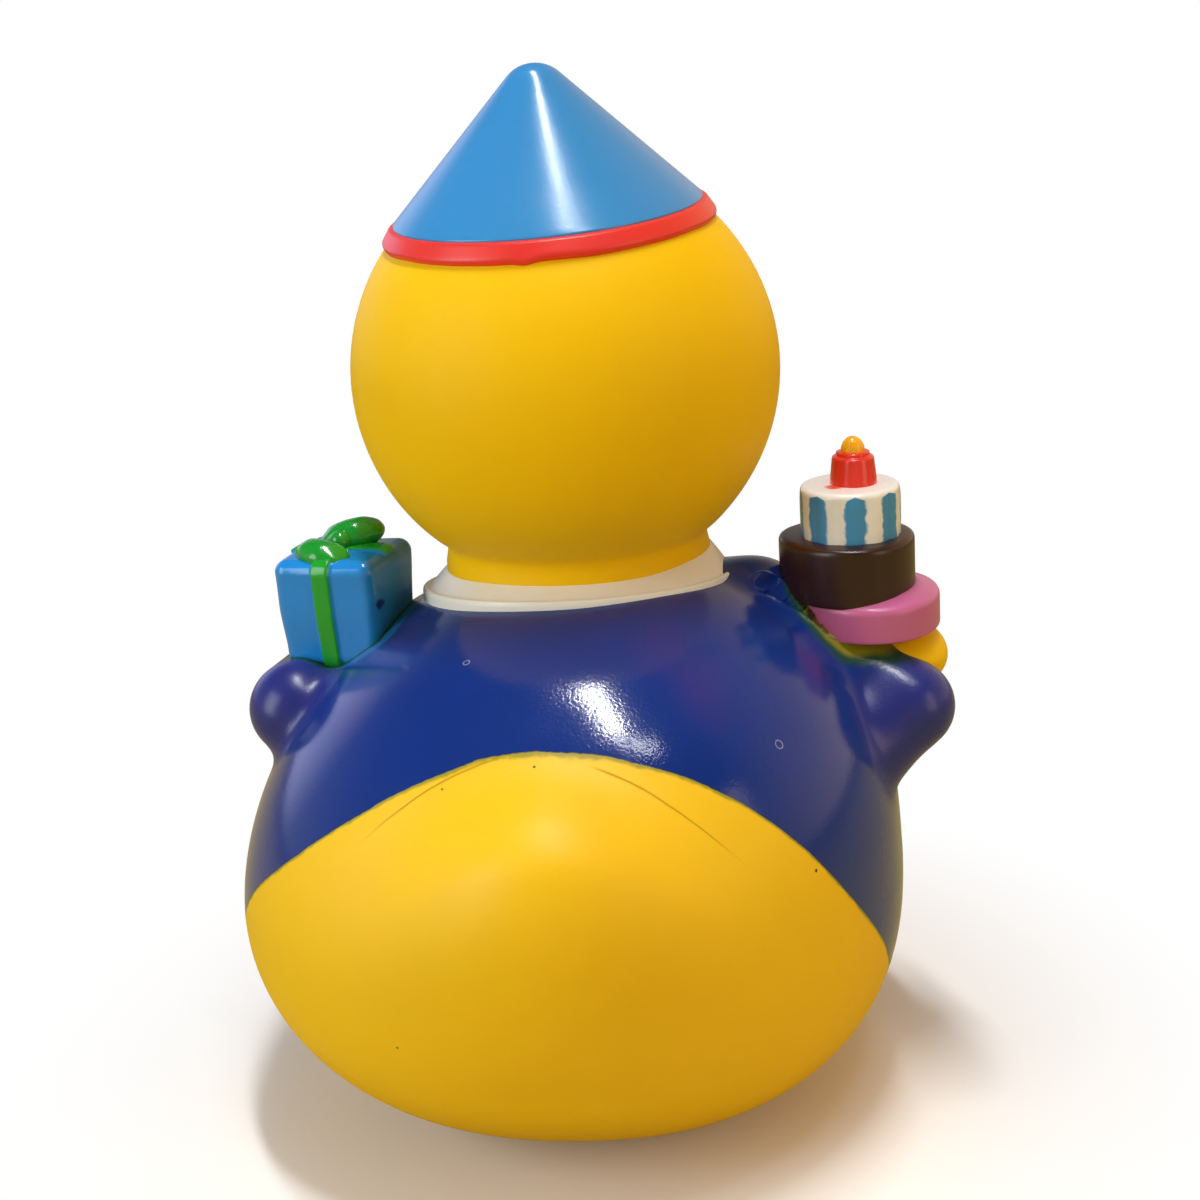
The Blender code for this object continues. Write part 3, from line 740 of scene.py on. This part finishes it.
def gift_paint():
    paint = Paint("gift_paint", WRAP, 0.22, 0.6 * MM, 0.012 * MM)
    paint.layer(paint.times(paint.noise(4 * MM, 3), 0.6), WRAP_DEEP)
    # Painted shade: one side face of the present darkened towards teal
    side = paint.ragged(paint.attribute("side"), 0.5 * MM, 2.2 * MM, 1.0)
    shade = paint.below(side, 1.1 * MM, 0.9 * MM)
    paint.layer(paint.times(shade, 0.3), TEAL_DARK, 0.3)
    smear = paint.ragged(paint.ball(GIFT_SMEAR, 1.3 * MM, (1, 1, 0.8)), 0.5 * MM, 1.2 * MM)
    paint.patch(smear, 0.3 * MM, NAVY, 0.2)
    chip = paint.ragged(paint.ball(GIFT_CHIP, 0.5 * MM, (1, 1.4, 0.7)), 0.2 * MM, 0.8 * MM)
    paint.patch(chip, 0.15 * MM, YELLOW_DEEP, 0.3)
    nick = paint.ragged(paint.ball(GIFT_NICK, 0.4 * MM), 0.35 * MM, 0.5 * MM)
    paint.patch(nick, 0.15 * MM, TEAL_DARK, 0.3)
    ribbon = paint.ragged(paint.attribute("ribbon"), 0.15 * MM, 1.6 * MM, 3.0)
    paint.patch(ribbon, 0.1 * MM, GREEN, 0.22)
    paint.mottle(1.0 * MM, 0.05)
    return paint.done(coat=0.1)


def stripe_paint():
    """White icing with blue strokes down every other flute."""
    paint = Paint("icing_paint", WHITE, 0.3, 0.5 * MM, 0.02 * MM)
    paint.mottle(0.8 * MM, 0.05)
    stripe = paint.ragged(paint.attribute("stripe"), 0.25, 1.2 * MM, 2.0)
    paint.patch(stripe, 0.15, BLUE_STRIPE, 0.25)
    smear = paint.ragged(paint.attribute("smear"), 0.35 * MM, 1.0 * MM, 5.0)
    paint.patch(smear, 0.5 * MM, SMEAR_RED, 0.3)
    return paint.done(coat=0.3)


def eye_paint(side):
    paint = Paint("eye_paint", EYE_WHITE, 0.2)
    turn = eye_turn(side)
    front = HEAD_CENTRE + turn @ Vector((0, -HEAD_RADIUS - EYE.y / 2, -0.6 * MM))
    paint.patch(paint.ball(front, PUPIL_RADIUS), 0.1 * MM, BLACK, 0.15)
    glint = front + Vector((side * -0.5, 0, 1.1)) * MM
    paint.patch(paint.ball(glint, GLINT_RADIUS), 0.1 * MM, GLINT, 0.2)
    return paint.done(coat=0.3)


# Pieces

def fused(parts):
    """One closed skin around meshes that run into each other."""
    bm = bmesh.new()
    for part in parts:
        bm.from_mesh(part)
    bmesh.ops.recalc_face_normals(bm, faces=bm.faces)
    merged = bpy.data.meshes.new("skin")
    bm.to_mesh(merged)
    bm.free()
    draft = add_object("draft", merged)
    remesh = draft.modifiers.new("Fuse", "REMESH")
    remesh.mode = "VOXEL"
    remesh.voxel_size = SKIN_CELL
    graph = bpy.context.evaluated_depsgraph_get()
    mesh = bpy.data.meshes.new_from_object(draft.evaluated_get(graph))
    bpy.data.objects.remove(draft)
    return mesh


def settle(points, field, rounds):
    """Moves points onto the surface where a field is zero, in short steps down its slope."""
    nudge = 0.02 * MM
    flattest = 0.3
    longest = 0.5 * MM
    for _ in range(rounds):
        value = field(points)
        slope = np.stack([(field(points + nudge * axis) - value) / nudge for axis in np.eye(3)], axis=-1)
        length = (slope**2).sum(axis=-1) + TINY
        step = slope * (value / np.maximum(length, flattest))[:, None]
        stride = norm(step, axis=-1)[:, None] + TINY
        points = points - step * np.minimum(1, longest / stride)
    return points


def flat_base(points):
    """The points with a level base and the recess in it."""
    points[:, 2] = np.maximum(points[:, 2], 0)
    middle = norm(points[:, :2] - BASE_CENTRE[:2], axis=1)
    points[(points[:, 2] < 0.02 * MM) & (middle < RECESS_RADIUS), 2] = RECESS_DEPTH
    return points


def mark_skin(mesh, points):
    """Stores what the torso's paint has to know of each point."""
    crease, crease_shown = crease_line(points)
    near_gift = box_distance(points)
    inward = smooth_step((GIFT_CENTRE.x + 1 * MM - points[:, 0]) / (4 * MM))
    sleeves = [sleeve_field(points, joints, radii) for joints, radii, _ in (LEFT_ARM, RIGHT_ARM)]
    mark(mesh, "hem", hem_distance(points))
    mark(mesh, "crease", crease)
    mark(mesh, "crease_shown", crease_shown)
    mark(mesh, "near_gift", near_gift)
    mark(mesh, "beside_gift", near_gift - (0.4 + 1.5 * inward) * MM)
    mark(mesh, "near_cake", cake_distance(points))
    mark(mesh, "sleeves", np.minimum(*sleeves))


def sculpted_skin():
    """The torso and both sleeves in one skin, with fillets where they meet."""
    parts = [cast_mesh("torso", torso_field, CAST_CENTRE, 120, 90)]
    for joints, radii, _ in (LEFT_ARM, RIGHT_SHOULDER, RIGHT_ARM):
        sleeve = partial(sleeve_field, joints=joints, radii=radii)
        parts.append(cast_mesh("sleeve", sleeve, joints[0], 64, 48))
    mesh = fused(parts)
    mesh.name = "torso_and_sleeves"
    points = flat_base(settle(points_of(mesh), skin_field, 5))
    set_points(mesh, points)
    mark_skin(mesh, points)
    return mesh


def mark(mesh, name, values):
    """Stores a value at each point, for a material to read."""
    mesh.attributes.new(name, "FLOAT", "POINT").data.foreach_set("value", values)


def hem_distance(points):
    """How far each point lies above the hem, roughly along the skin."""
    away = points[:, :2] - HEM_CENTRE
    angle = np.arctan2(away[:, 0], away[:, 1])
    height = np.zeros(len(points))
    for step in np.linspace(-HEM_SMOOTHING, HEM_SMOOTHING, HEM_SAMPLES):
        height += np.interp(wrapped(angle + step), HEM_ANGLES, HEM_HEIGHTS) / HEM_SAMPLES
    return np.minimum((points[:, 2] - height) * HEM_SLANT, TAIL_CLEAR_Y - points[:, 1])


def crease_line(points):
    """Height above the crease beside the tail, and how strongly it shows there."""
    across = np.abs(points[:, 0])
    top, fall = np.where(points[:, :1] > 0, CREASE_LEFT, CREASE_RIGHT).T
    shown = smooth_step((across - CREASE_START) / CREASE_START_FADE)
    shown *= smooth_step((CREASE_END - across) / CREASE_END_FADE)
    shown = np.where(points[:, 1] > CREASE_FRONT_Y, shown, 0)
    return points[:, 2] - top + fall * across**2, shown


def gift_place():
    return Matrix.Translation(GIFT_CENTRE) @ Matrix.Rotation(GIFT_YAW, 4, "Z")


def box_distance(points):
    """Distance of each point from the present."""
    back = np.array(gift_place().inverted())
    local = points @ back[:3, :3].T + back[:3, 3]
    return norm(np.maximum(np.abs(local) - GIFT_SIZE / 2, 0), axis=1)


def cake_distance(points):
    """Distance of each point from the lowest tier."""
    local = points - np.array(CAKE_CENTRE) - np.array([TIER_SHIFTS[0], 0, 0])
    side = np.maximum(np.hypot(local[:, 0], local[:, 1]) - TIER_RADII[0], 0)
    rise = np.maximum(np.abs(local[:, 2] - TIER_HEIGHTS[0] / 2) - TIER_HEIGHTS[0] / 2, 0)
    return np.hypot(side, rise)


def head_mesh():
    meet = -math.acos((NECK_RADIUS + 1.6 * MM) / HEAD_RADIUS)
    angles = np.linspace(math.pi / 2, meet, 90)
    ball = [(HEAD_RADIUS * math.cos(a), HEAD_Z + HEAD_RADIUS * math.sin(a), 0) for a in angles]
    ball[0] = (0, HEAD_Z + HEAD_RADIUS)
    foot = NECK_RADIUS + NECK_FLARE / 2
    neck = [
        (NECK_RADIUS, COLLAR_Z + 1.0 * MM, 2.2 * MM),
        (foot, COLLAR_Z - 1.0 * MM),
        (foot, NECK_FOOT_Z),
        (0, NECK_FOOT_Z),
    ]
    mesh = revolved("head", ball + neck, 0.5 * MM, 160, Matrix.Translation((NECK_X, NECK_Y, 0)), 0.8 * MM)
    points = points_of(mesh)
    middle = np.array(HEAD_CENTRE)
    outward = (points - middle) / (norm(points - middle, axis=1)[:, None] + TINY)
    set_points(mesh, points + outward * (wobble(points, 16 * MM, 1) * 0.15 * MM)[:, None])
    return mesh


def collar_mesh():
    inner = NECK_RADIUS - OVERLAP
    outer = NECK_RADIUS + COLLAR_WIDTH
    fall = -COLLAR_SLOPE * COLLAR_WIDTH
    corners = [
        (0, 0),
        (inner, 0, 0),
        (outer - 2.2 * COLLAR_LIP, fall - 0.1 * MM, 0.3 * MM),
        (outer - 1.4 * COLLAR_LIP, fall + 0.6 * COLLAR_LIP, 0.3 * MM),
        (outer - 0.3 * COLLAR_LIP, fall + 0.4 * COLLAR_LIP, 0.3 * MM),
        (outer, fall - 0.3 * MM, 0.3 * MM),
        (outer, fall - COLLAR_DEPTH),
        (0, fall - COLLAR_DEPTH),
    ]
    place = Matrix.Translation((NECK_X, NECK_Y, COLLAR_Z))

    def uneven(turn, radii, heights):
        """Falls from the nape towards the throat, and a little to the left, more so at its outer edge."""
        wave = ring_wobble(turn, 1 / 2.2, 0.3)
        outward = smooth_step((radii - NECK_RADIUS) / COLLAR_WIDTH)
        fall = (1 - np.cos(turn)) * (COLLAR_FALL[0] + (COLLAR_FALL[1] - COLLAR_FALL[0]) * outward)
        lean = np.sin(turn) ** 3 * (COLLAR_LEAN[0] + (COLLAR_LEAN[1] - COLLAR_LEAN[0]) * outward)
        return radii + 0.18 * MM * wave, heights - fall - lean

    return revolved("collar", corners, 0.2 * MM, 180, place, 0.35 * MM, uneven)


def hat_place():
    tilt = Matrix.Rotation(-HAT_TILT_BACK, 4, "X") @ Matrix.Rotation(HAT_TILT_SIDE, 4, "Y")
    return Matrix.Translation(HEAD_CENTRE) @ tilt


def hat_levels():
    """Heights above the middle of the head at which the hat's band begins and ends."""
    seat = math.sqrt(HEAD_RADIUS**2 - HAT_BAND_RADIUS**2)
    return seat, seat + HAT_BAND_HEIGHT


def hat_mesh():
    seat, rim = hat_levels()
    apex = rim + HAT_BASE_RADIUS / math.tan(HAT_HALF_ANGLE)
    tip = apex - HAT_TIP_RADIUS * (1 / math.sin(HAT_HALF_ANGLE) - 1) - HAT_TIP_CLEARANCE
    cone = [
        (0, tip),
        (HAT_TIP_RADIUS * math.tan(math.pi / 4 - HAT_HALF_ANGLE / 2), tip, HAT_TIP_RADIUS),
        (HAT_BASE_RADIUS, rim, 0.25 * MM),
        (HAT_BASE_RADIUS - OVERLAP, seat - OVERLAP),
        (0, seat - OVERLAP),
    ]
    return revolved("hat", cone, 0.4 * MM, 180, hat_place(), 0.5 * MM)


def hat_band_mesh():
    """The band, whose lower edge is wavy and has a small notch behind."""
    seat, rim = hat_levels()
    band = [
        (0, rim - 0.05 * MM),
        (HAT_BASE_RADIUS - 0.3 * MM, rim - 0.05 * MM, 0),
        (HAT_BASE_RADIUS + HAT_BAND_PROUD, rim - 0.25 * MM, 0.35 * MM),
        (HAT_BAND_RADIUS + HAT_BAND_PROUD, seat + 0.4 * MM, 0.5 * MM),
        (HAT_BAND_RADIUS - 0.2 * MM, seat - 0.3 * MM, 0.3 * MM),
        (HAT_BAND_RADIUS - OVERLAP, seat - 0.4 * MM),
        (0, seat - 0.4 * MM),
    ]

    def uneven(turn, radii, heights):
        wave = ring_wobble(turn, 1 / 3.5, 0)
        notch = np.exp(-((wrapped(turn) - 0.03) / 0.05) ** 2)
        low = smooth_step((rim - heights) / HAT_BAND_HEIGHT)
        return radii, heights + low * (0.22 * MM * wave - 0.35 * MM * notch)

    return revolved("hat_band", band, 0.3 * MM, 360, hat_place(), 0.3 * MM, uneven)


def ellipsoid_mesh(name, centre, half, turn=Matrix.Identity(4), columns=64, rows=40):
    def field(points):
        return norm(points / np.array(half), axis=-1) - 1

    mesh = cast_mesh(name, field, np.zeros(3), columns, rows)
    mesh.transform(Matrix.Translation(centre) @ turn)
    return mesh


def eye_turn(side):
    return Matrix.Rotation(side * EYE_AZIMUTH, 4, "Z") @ Matrix.Rotation(-EYE_ELEVATION, 4, "X")


def ribbon_distance(points):
    """Distance from the raised bands: one goes over the front, top and back, and one lies on the top."""
    face = np.argmax(np.abs(points), axis=1)
    along = np.abs(points[:, 0]) - RIBBON_WIDTH / 2
    across = np.abs(points[:, 1]) - RIBBON_WIDTH / 2
    band = np.where(face == 0, FAR, along)
    return np.where(face == 2, np.minimum(band, across), band)


def gift_mesh():
    """A box with soft edges, slightly narrower below, and the ribbon raised on it."""
    bm = bmesh.new()
    bmesh.ops.create_cube(bm, size=1)
    bmesh.ops.subdivide_edges(bm, edges=bm.edges[:], cuts=GIFT_CELLS - 1, use_grid_fill=True)
    mesh = bpy.data.meshes.new("gift")
    bm.to_mesh(mesh)
    bm.free()
    points = points_of(mesh) * GIFT_SIZE
    half = GIFT_SIZE / 2
    inner = np.clip(points, -half + GIFT_EDGE, half - GIFT_EDGE)
    outward = points - inner
    outward /= norm(outward, axis=1)[:, None] + TINY
    band = ribbon_distance(points)
    sag = wobble(points, 5 * MM, 4) * 0.25 * MM
    rise = RIBBON_PROUD * smooth_step((0.15 * MM - band) / (0.3 * MM))
    points = inner + outward * (GIFT_EDGE + sag + rise)[:, None]
    points[:, :2] *= 1 - GIFT_TAPER * np.clip(0.5 - points[:, 2] / GIFT_SIZE, 0, 1)[:, None]
    set_points(mesh, points)
    mark(mesh, "ribbon", band)
    mark(mesh, "side", points[:, 0] + half)
    mesh.transform(gift_place())
    return mesh


def bow_meshes():
    """Two plump loops and the knot between them."""
    loops = []
    for name, centre, half, swing, tilt in BOW:
        turn = (
            Matrix.Translation(Vector(centre) * MM + Vector((0, 0, GIFT_SIZE / 2)))
            @ Matrix.Rotation(math.radians(swing), 4, "Z")
            @ Matrix.Rotation(math.radians(tilt), 4, "Y")
        )
        mesh = ellipsoid_mesh(name, Vector((0, 0, 0)), Vector(half) * MM, columns=56, rows=36)
        points = points_of(mesh)
        set_points(mesh, points * (1 + 0.1 * wobble(points, 1.5 * MM, 2))[:, None])
        mesh.transform(gift_place() @ turn)
        loops.append(mesh)
    return loops


def tier_mesh(index, name, rounding, harmonics, flutes=0):
    """A tier of the cake, slightly out of round."""
    foot = sum(TIER_HEIGHTS[:index]) - TIER_SINKS[index]
    top = sum(TIER_HEIGHTS[: index + 1])
    radius = TIER_RADII[index]
    rim = top - TIER_SAGS[index]
    corners = [
        (0, top),
        (0.7 * radius, top, 2 * MM),
        (radius, rim, rounding),
        (radius, foot, 0.3 * MM),
        (0, foot),
    ]

    def uneven(turn, radii, heights):
        out = smooth_step(radii / radius * 1.6 - 0.6)
        change = sum(size * np.cos(order * turn + phase) for order, size, phase in harmonics)
        if flutes:
            side = smooth_step((rim - heights) / (1.5 * MM))
            change = change + 0.03 * side * np.abs(np.cos(flutes * turn / 2)) - 0.015 * side
        return radii * (1 + out * change), heights

    place = Matrix.Translation(CAKE_CENTRE + Vector((TIER_SHIFTS[index], 0, 0)))
    return revolved(name, corners, rounding, 192, place, 0.25 * MM, uneven)


def stripe_attributes(mesh):
    """Marks how far each point of the icing is from a blue stroke and from the candle's smear."""
    points = points_of(mesh)
    centre = np.array(CAKE_CENTRE) + np.array([TIER_SHIFTS[2], 0, 0])
    local = points - centre
    turn = np.arctan2(local[:, 0], local[:, 1])
    phase = (turn - STRIPE_TURN) * STRIPES / (2 * math.pi)
    off = np.abs(phase - np.round(phase)) * 2
    lip = np.maximum(0, (local[:, 2] - CAKE_TOP + 0.7 * MM) / (0.6 * MM))
    mark(mesh, "stripe", off - 0.55 + lip)
    smear_at = centre + np.array([1.6 * MM, 1.6 * MM, CAKE_TOP])
    mark(mesh, "smear", norm(points - smear_at, axis=1) - 0.9 * MM)


def candle_mesh():
    foot = CAKE_TOP - OVERLAP
    top = CAKE_TOP + CANDLE_HEIGHT
    shoulder = top - CANDLE_KNOB_HEIGHT
    corners = [
        (0, top),
        (CANDLE_KNOB_RADIUS, top, 0.5 * MM),
        (CANDLE_KNOB_RADIUS, shoulder, 0.15 * MM),
        (CANDLE_TOP_RADIUS, shoulder - 0.1 * MM, 0.5 * MM),
        (CANDLE_RADIUS, foot + OVERLAP, 0.3 * MM),
        (CANDLE_RADIUS, foot),
        (0, foot),
    ]

    def uneven(turn, radii, heights):
        return radii * (1 + 0.04 * np.cos(2 * turn + 1) + 0.02 * np.cos(3 * turn)), heights

    place = Matrix.Translation(CAKE_CENTRE)
    return revolved("candle", corners, 0.3 * MM, 96, place, 0.2 * MM, uneven)


def build_face():
    orange = simple_paint("bill_paint", ORANGE, ORANGE_DEEP, 0.35)
    tilt = Matrix.Rotation(BILL_TILT, 4, "X")
    lower = BILL_CENTRE - Vector((0, -BILL_GAPE / 2, BILL_GAPE))
    for name, centre, half in (("upper_bill", BILL_CENTRE, UPPER_BILL), ("lower_bill", lower, LOWER_BILL)):
        piece(ellipsoid_mesh(name, centre, half, tilt), orange)
    for side, name in ((-1, "right_eye"), (1, "left_eye")):
        turn = eye_turn(side)
        centre = HEAD_CENTRE + turn @ Vector((0, -HEAD_RADIUS + EYE.y / 2, 0))
        piece(ellipsoid_mesh(name, centre, EYE, turn), eye_paint(side))


def build_present():
    piece(gift_mesh(), gift_paint())
    green = simple_paint("bow_paint", GREEN, GREEN_DEEP, 0.22, 0.3, 3 * MM, 0.03 * MM)
    for mesh in bow_meshes():
        piece(mesh, green)


def build_cake():
    pink = simple_paint("pink_paint", PINK, PINK_DEEP, 0.35, 0.1, 6 * MM)
    brown = simple_paint("chocolate_paint", CHOCOLATE, CHOCOLATE_DEEP, 0.32, 0.0, 4 * MM)
    piece(tier_mesh(0, "lower_tier", 0.9 * MM, ((2, 0.02, 0.5), (3, 0.02, 1.0))), pink)
    piece(tier_mesh(1, "middle_tier", 0.7 * MM, ((2, 0.03, 2.0), (3, 0.03, 0.2))), brown)
    icing = tier_mesh(2, "upper_tier", 0.6 * MM, ((2, 0.01, 0.0),), FLUTES)
    stripe_attributes(icing)
    piece(icing, stripe_paint())
    piece(candle_mesh(), simple_paint("candle_paint", RED, CANDLE_DEEP, 0.25, 0.2, 2 * MM))
    flame_at = CAKE_CENTRE + Vector((0, 0, CAKE_TOP + CANDLE_HEIGHT))
    flame = ellipsoid_mesh("flame", flame_at, FLAME, columns=40, rows=24)
    piece(flame, simple_paint("flame_paint", FLAME_PAINT, FLAME_DEEP, 0.25, 0.2, 1 * MM))


def build_duck():
    piece(sculpted_skin(), skin_paint())
    yellow = bare_vinyl("head_vinyl").done(subsurface=0.15, specular=0.15)
    piece(head_mesh(), yellow)
    piece(collar_mesh(), simple_paint("collar_paint", CREAM, CREAM_DEEP, 0.35))
    piece(hat_mesh(), simple_paint("hat_paint", SKY, SKY_DEEP, 0.22, 0.0, 12 * MM))
    piece(hat_band_mesh(), simple_paint("band_paint", RED, BAND_DEEP, 0.35))
    build_face()
    for name, centre, half in (("left_hand", LEFT_HAND, LEFT_PALM), ("right_hand", RIGHT_HAND, RIGHT_PALM)):
        piece(ellipsoid_mesh(name, centre, half), yellow)
    build_present()
    build_cake()


# Stage

SHADOW_NEAR = 32 * MM
SHADOW_FAR = 70 * MM
FLOOR_SIZE = 3
FLOOR_PAINT = (0.92, 0.92, 0.92, 1)
FLOOR_BOUNCE = (0.48, 0.40, 0.15, 1)
PURE_WHITE = (1, 1, 1, 1)
# Height in the sky, as a share of straight up, and how bright it is there
WALLS = (0.05, 0.5)
CEILING = (0.75, 0.05)
RIGHT_TINT = (1.0, 0.86, 0.80)
LEFT_TINT = (0.90, 0.92, 1.0)
CAMERA_TINT = (0.85, 0.68, 0.22)
# Each patch of light in the sky: direction, inner and outer half-angle in degrees, colour
GLOWS = (
    ((0.66, -0.73, 0.15), 2, 24, (0.65, 0.65, 1.0)),
    ((-0.75, -0.57, 0.34), 10, 55, (0.6, 0.36, 0.1)),
)
LIGHTS_AIM = Vector((0, 0, 50)) * MM
# Each lamp: place and size in metres, power, colour, and whether surfaces mirror it
LAMPS = {
    "ceiling_fill": ((0, 0.1, 0.7), (0.9, 0.9), 0.8, (1, 1, 1), False),
    "left_softbox": ((0.55, 0.35, 0.30), (0.35, 0.5), 2.5, (0.92, 0.96, 1.0), True),
    "right_fill": ((-0.6, 0.35, 0.25), (0.3, 0.5), 1.0, (1.0, 0.72, 0.55), True),
    "camera_fill": ((-0.1, 0.8, 0.12), (0.6, 0.3), 0.8, (1, 1, 1), False),
}
# Each tube hangs level: place, length, power, and turn in degrees
TUBE_WIDTH = 0.035
TUBES = {
    "overhead_tube": ((-0.015, 0.003, 0.62), 0.24, 2.0, 116),
    "further_tube": ((-0.14, 0.15, 0.62), 0.14, 0.4, 160),
}


def area_light(name, place, size, power, colour=(1, 1, 1), mirrored=True):
    data = bpy.data.lights.new(name, "AREA")
    data.shape = "RECTANGLE"
    data.size, data.size_y = size
    data.energy = power
    data.color = colour
    light = add_object(name, data)
    light.location = place
    light.rotation_euler = (LIGHTS_AIM - Vector(place)).to_track_quat("-Z", "Y").to_euler()
    light.visible_glossy = mirrored
    return light


def lamps():
    for name, (place, length, power, turn) in TUBES.items():
        tube = area_light(name, place, (length, TUBE_WIDTH), power)
        tube.rotation_euler = (0, 0, math.radians(turn))
    for name, settings in LAMPS.items():
        area_light(name, *settings)


def floor_shading(nodes):
    """A pale floor: white to the camera, its shadow kept near the duck, and warmer in what it throws back."""
    shader = nodes.tree.nodes["Principled BSDF"]
    shader.inputs["Base Color"].default_value = FLOOR_PAINT
    shader.inputs["Roughness"].default_value = 0.9
    shader.inputs["Specular IOR Level"].default_value = 0.1
    white = nodes.node("ShaderNodeEmission")
    white.inputs["Color"].default_value = PURE_WHITE
    bounce = nodes.node("ShaderNodeBsdfDiffuse")
    bounce.inputs["Color"].default_value = FLOOR_BOUNCE
    place = nodes.node("ShaderNodeTexCoord").outputs["Object"]
    away = nodes.ramp(nodes.vector("LENGTH", place), SHADOW_NEAR, SHADOW_FAR)
    open_floor = nodes.mix_shaders(away, shader.outputs[0], white.outputs[0])
    seen = nodes.node("ShaderNodeLightPath").outputs["Is Camera Ray"]
    whole = nodes.mix_shaders(seen, bounce.outputs[0], open_floor)
    nodes.link(whole, nodes.tree.nodes["Material Output"].inputs["Surface"])


def sky(nodes):
    """Soft walls, brighter towards the horizon, bluish on one side, warm on the other and on the camera's."""
    direction = nodes.node("ShaderNodeTexCoord").outputs["Generated"]
    parts = nodes.node("ShaderNodeSeparateXYZ")
    nodes.link(direction, parts.inputs[0])
    height = nodes.node("ShaderNodeValToRGB")
    height.color_ramp.interpolation = "EASE"
    for stop, (position, light) in zip(height.color_ramp.elements, (WALLS, CEILING)):
        stop.position = position
        stop.color = (light, light, light, 1)
    nodes.link(parts.outputs["Z"], height.inputs[0])
    side = nodes.ramp(parts.outputs["X"], -0.7, 0.7, "LINEAR")
    colour = nodes.mix(1.0, height.outputs["Color"], nodes.mix(side, RIGHT_TINT, LEFT_TINT), "MULTIPLY")
    front = nodes.ramp(parts.outputs["Y"], -0.3, 0.5, "LINEAR")
    colour = nodes.mix(front, colour, CAMERA_TINT, "MULTIPLY")
    for towards, inner, outer, tint in GLOWS:
        along = nodes.vector("DOT_PRODUCT", direction, Vector(towards).normalized())
        patch = nodes.ramp(along, math.cos(math.radians(outer)), math.cos(math.radians(inner)))
        colour = nodes.mix(patch, colour, tint, "ADD")
    return colour


def studio():
    world = bpy.data.worlds.new("studio")
    bpy.context.scene.world = world
    world.use_nodes = True
    nodes = Nodes(world.node_tree)
    background = nodes.tree.nodes["Background"]
    nodes.link(sky(nodes), background.inputs["Color"])
    backdrop = nodes.node("ShaderNodeBackground")
    backdrop.inputs["Color"].default_value = PURE_WHITE
    seen = nodes.node("ShaderNodeLightPath").outputs["Is Camera Ray"]
    whole = nodes.mix_shaders(seen, background.outputs[0], backdrop.outputs[0])
    nodes.link(whole, nodes.tree.nodes["World Output"].inputs["Surface"])

    bpy.ops.mesh.primitive_plane_add(size=FLOOR_SIZE, location=(0, 0, -0.01 * MM))
    floor = bpy.context.object
    floor.name = "floor"
    paint = bpy.data.materials.new("floor")
    paint.use_nodes = True
    floor_shading(Nodes(paint.node_tree))
    floor.data.materials.append(paint)
    lamps()


def camera():
    data = bpy.data.cameras.new("photo")
    data.lens = CAMERA_LENS
    data.sensor_width = SENSOR_WIDTH
    data.clip_start = 0.005
    view = add_object("photo", data)
    side = math.sin(CAMERA_AZIMUTH) * CAMERA_DISTANCE
    away = math.cos(CAMERA_AZIMUTH) * CAMERA_DISTANCE
    turn = (
        Matrix.Rotation(math.pi + CAMERA_AZIMUTH + CAMERA_YAW, 4, "Z")
        @ Matrix.Rotation(math.pi / 2 - CAMERA_PITCH, 4, "X")
        @ Matrix.Rotation(CAMERA_ROLL, 4, "Z")
    )
    view.matrix_world = Matrix.Translation(Vector((-side, away, CAMERA_HEIGHT)) + FRAME_SHIFT) @ turn
    bpy.context.scene.camera = view


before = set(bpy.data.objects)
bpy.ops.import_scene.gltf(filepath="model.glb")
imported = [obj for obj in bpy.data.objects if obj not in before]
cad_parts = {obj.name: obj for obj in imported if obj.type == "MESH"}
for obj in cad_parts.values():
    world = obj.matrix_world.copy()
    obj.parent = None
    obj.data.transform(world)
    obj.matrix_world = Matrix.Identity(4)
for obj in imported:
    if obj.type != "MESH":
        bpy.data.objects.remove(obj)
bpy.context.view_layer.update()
bpy.context.scene.view_settings.view_transform = "Standard"
build_duck()
studio()
camera()
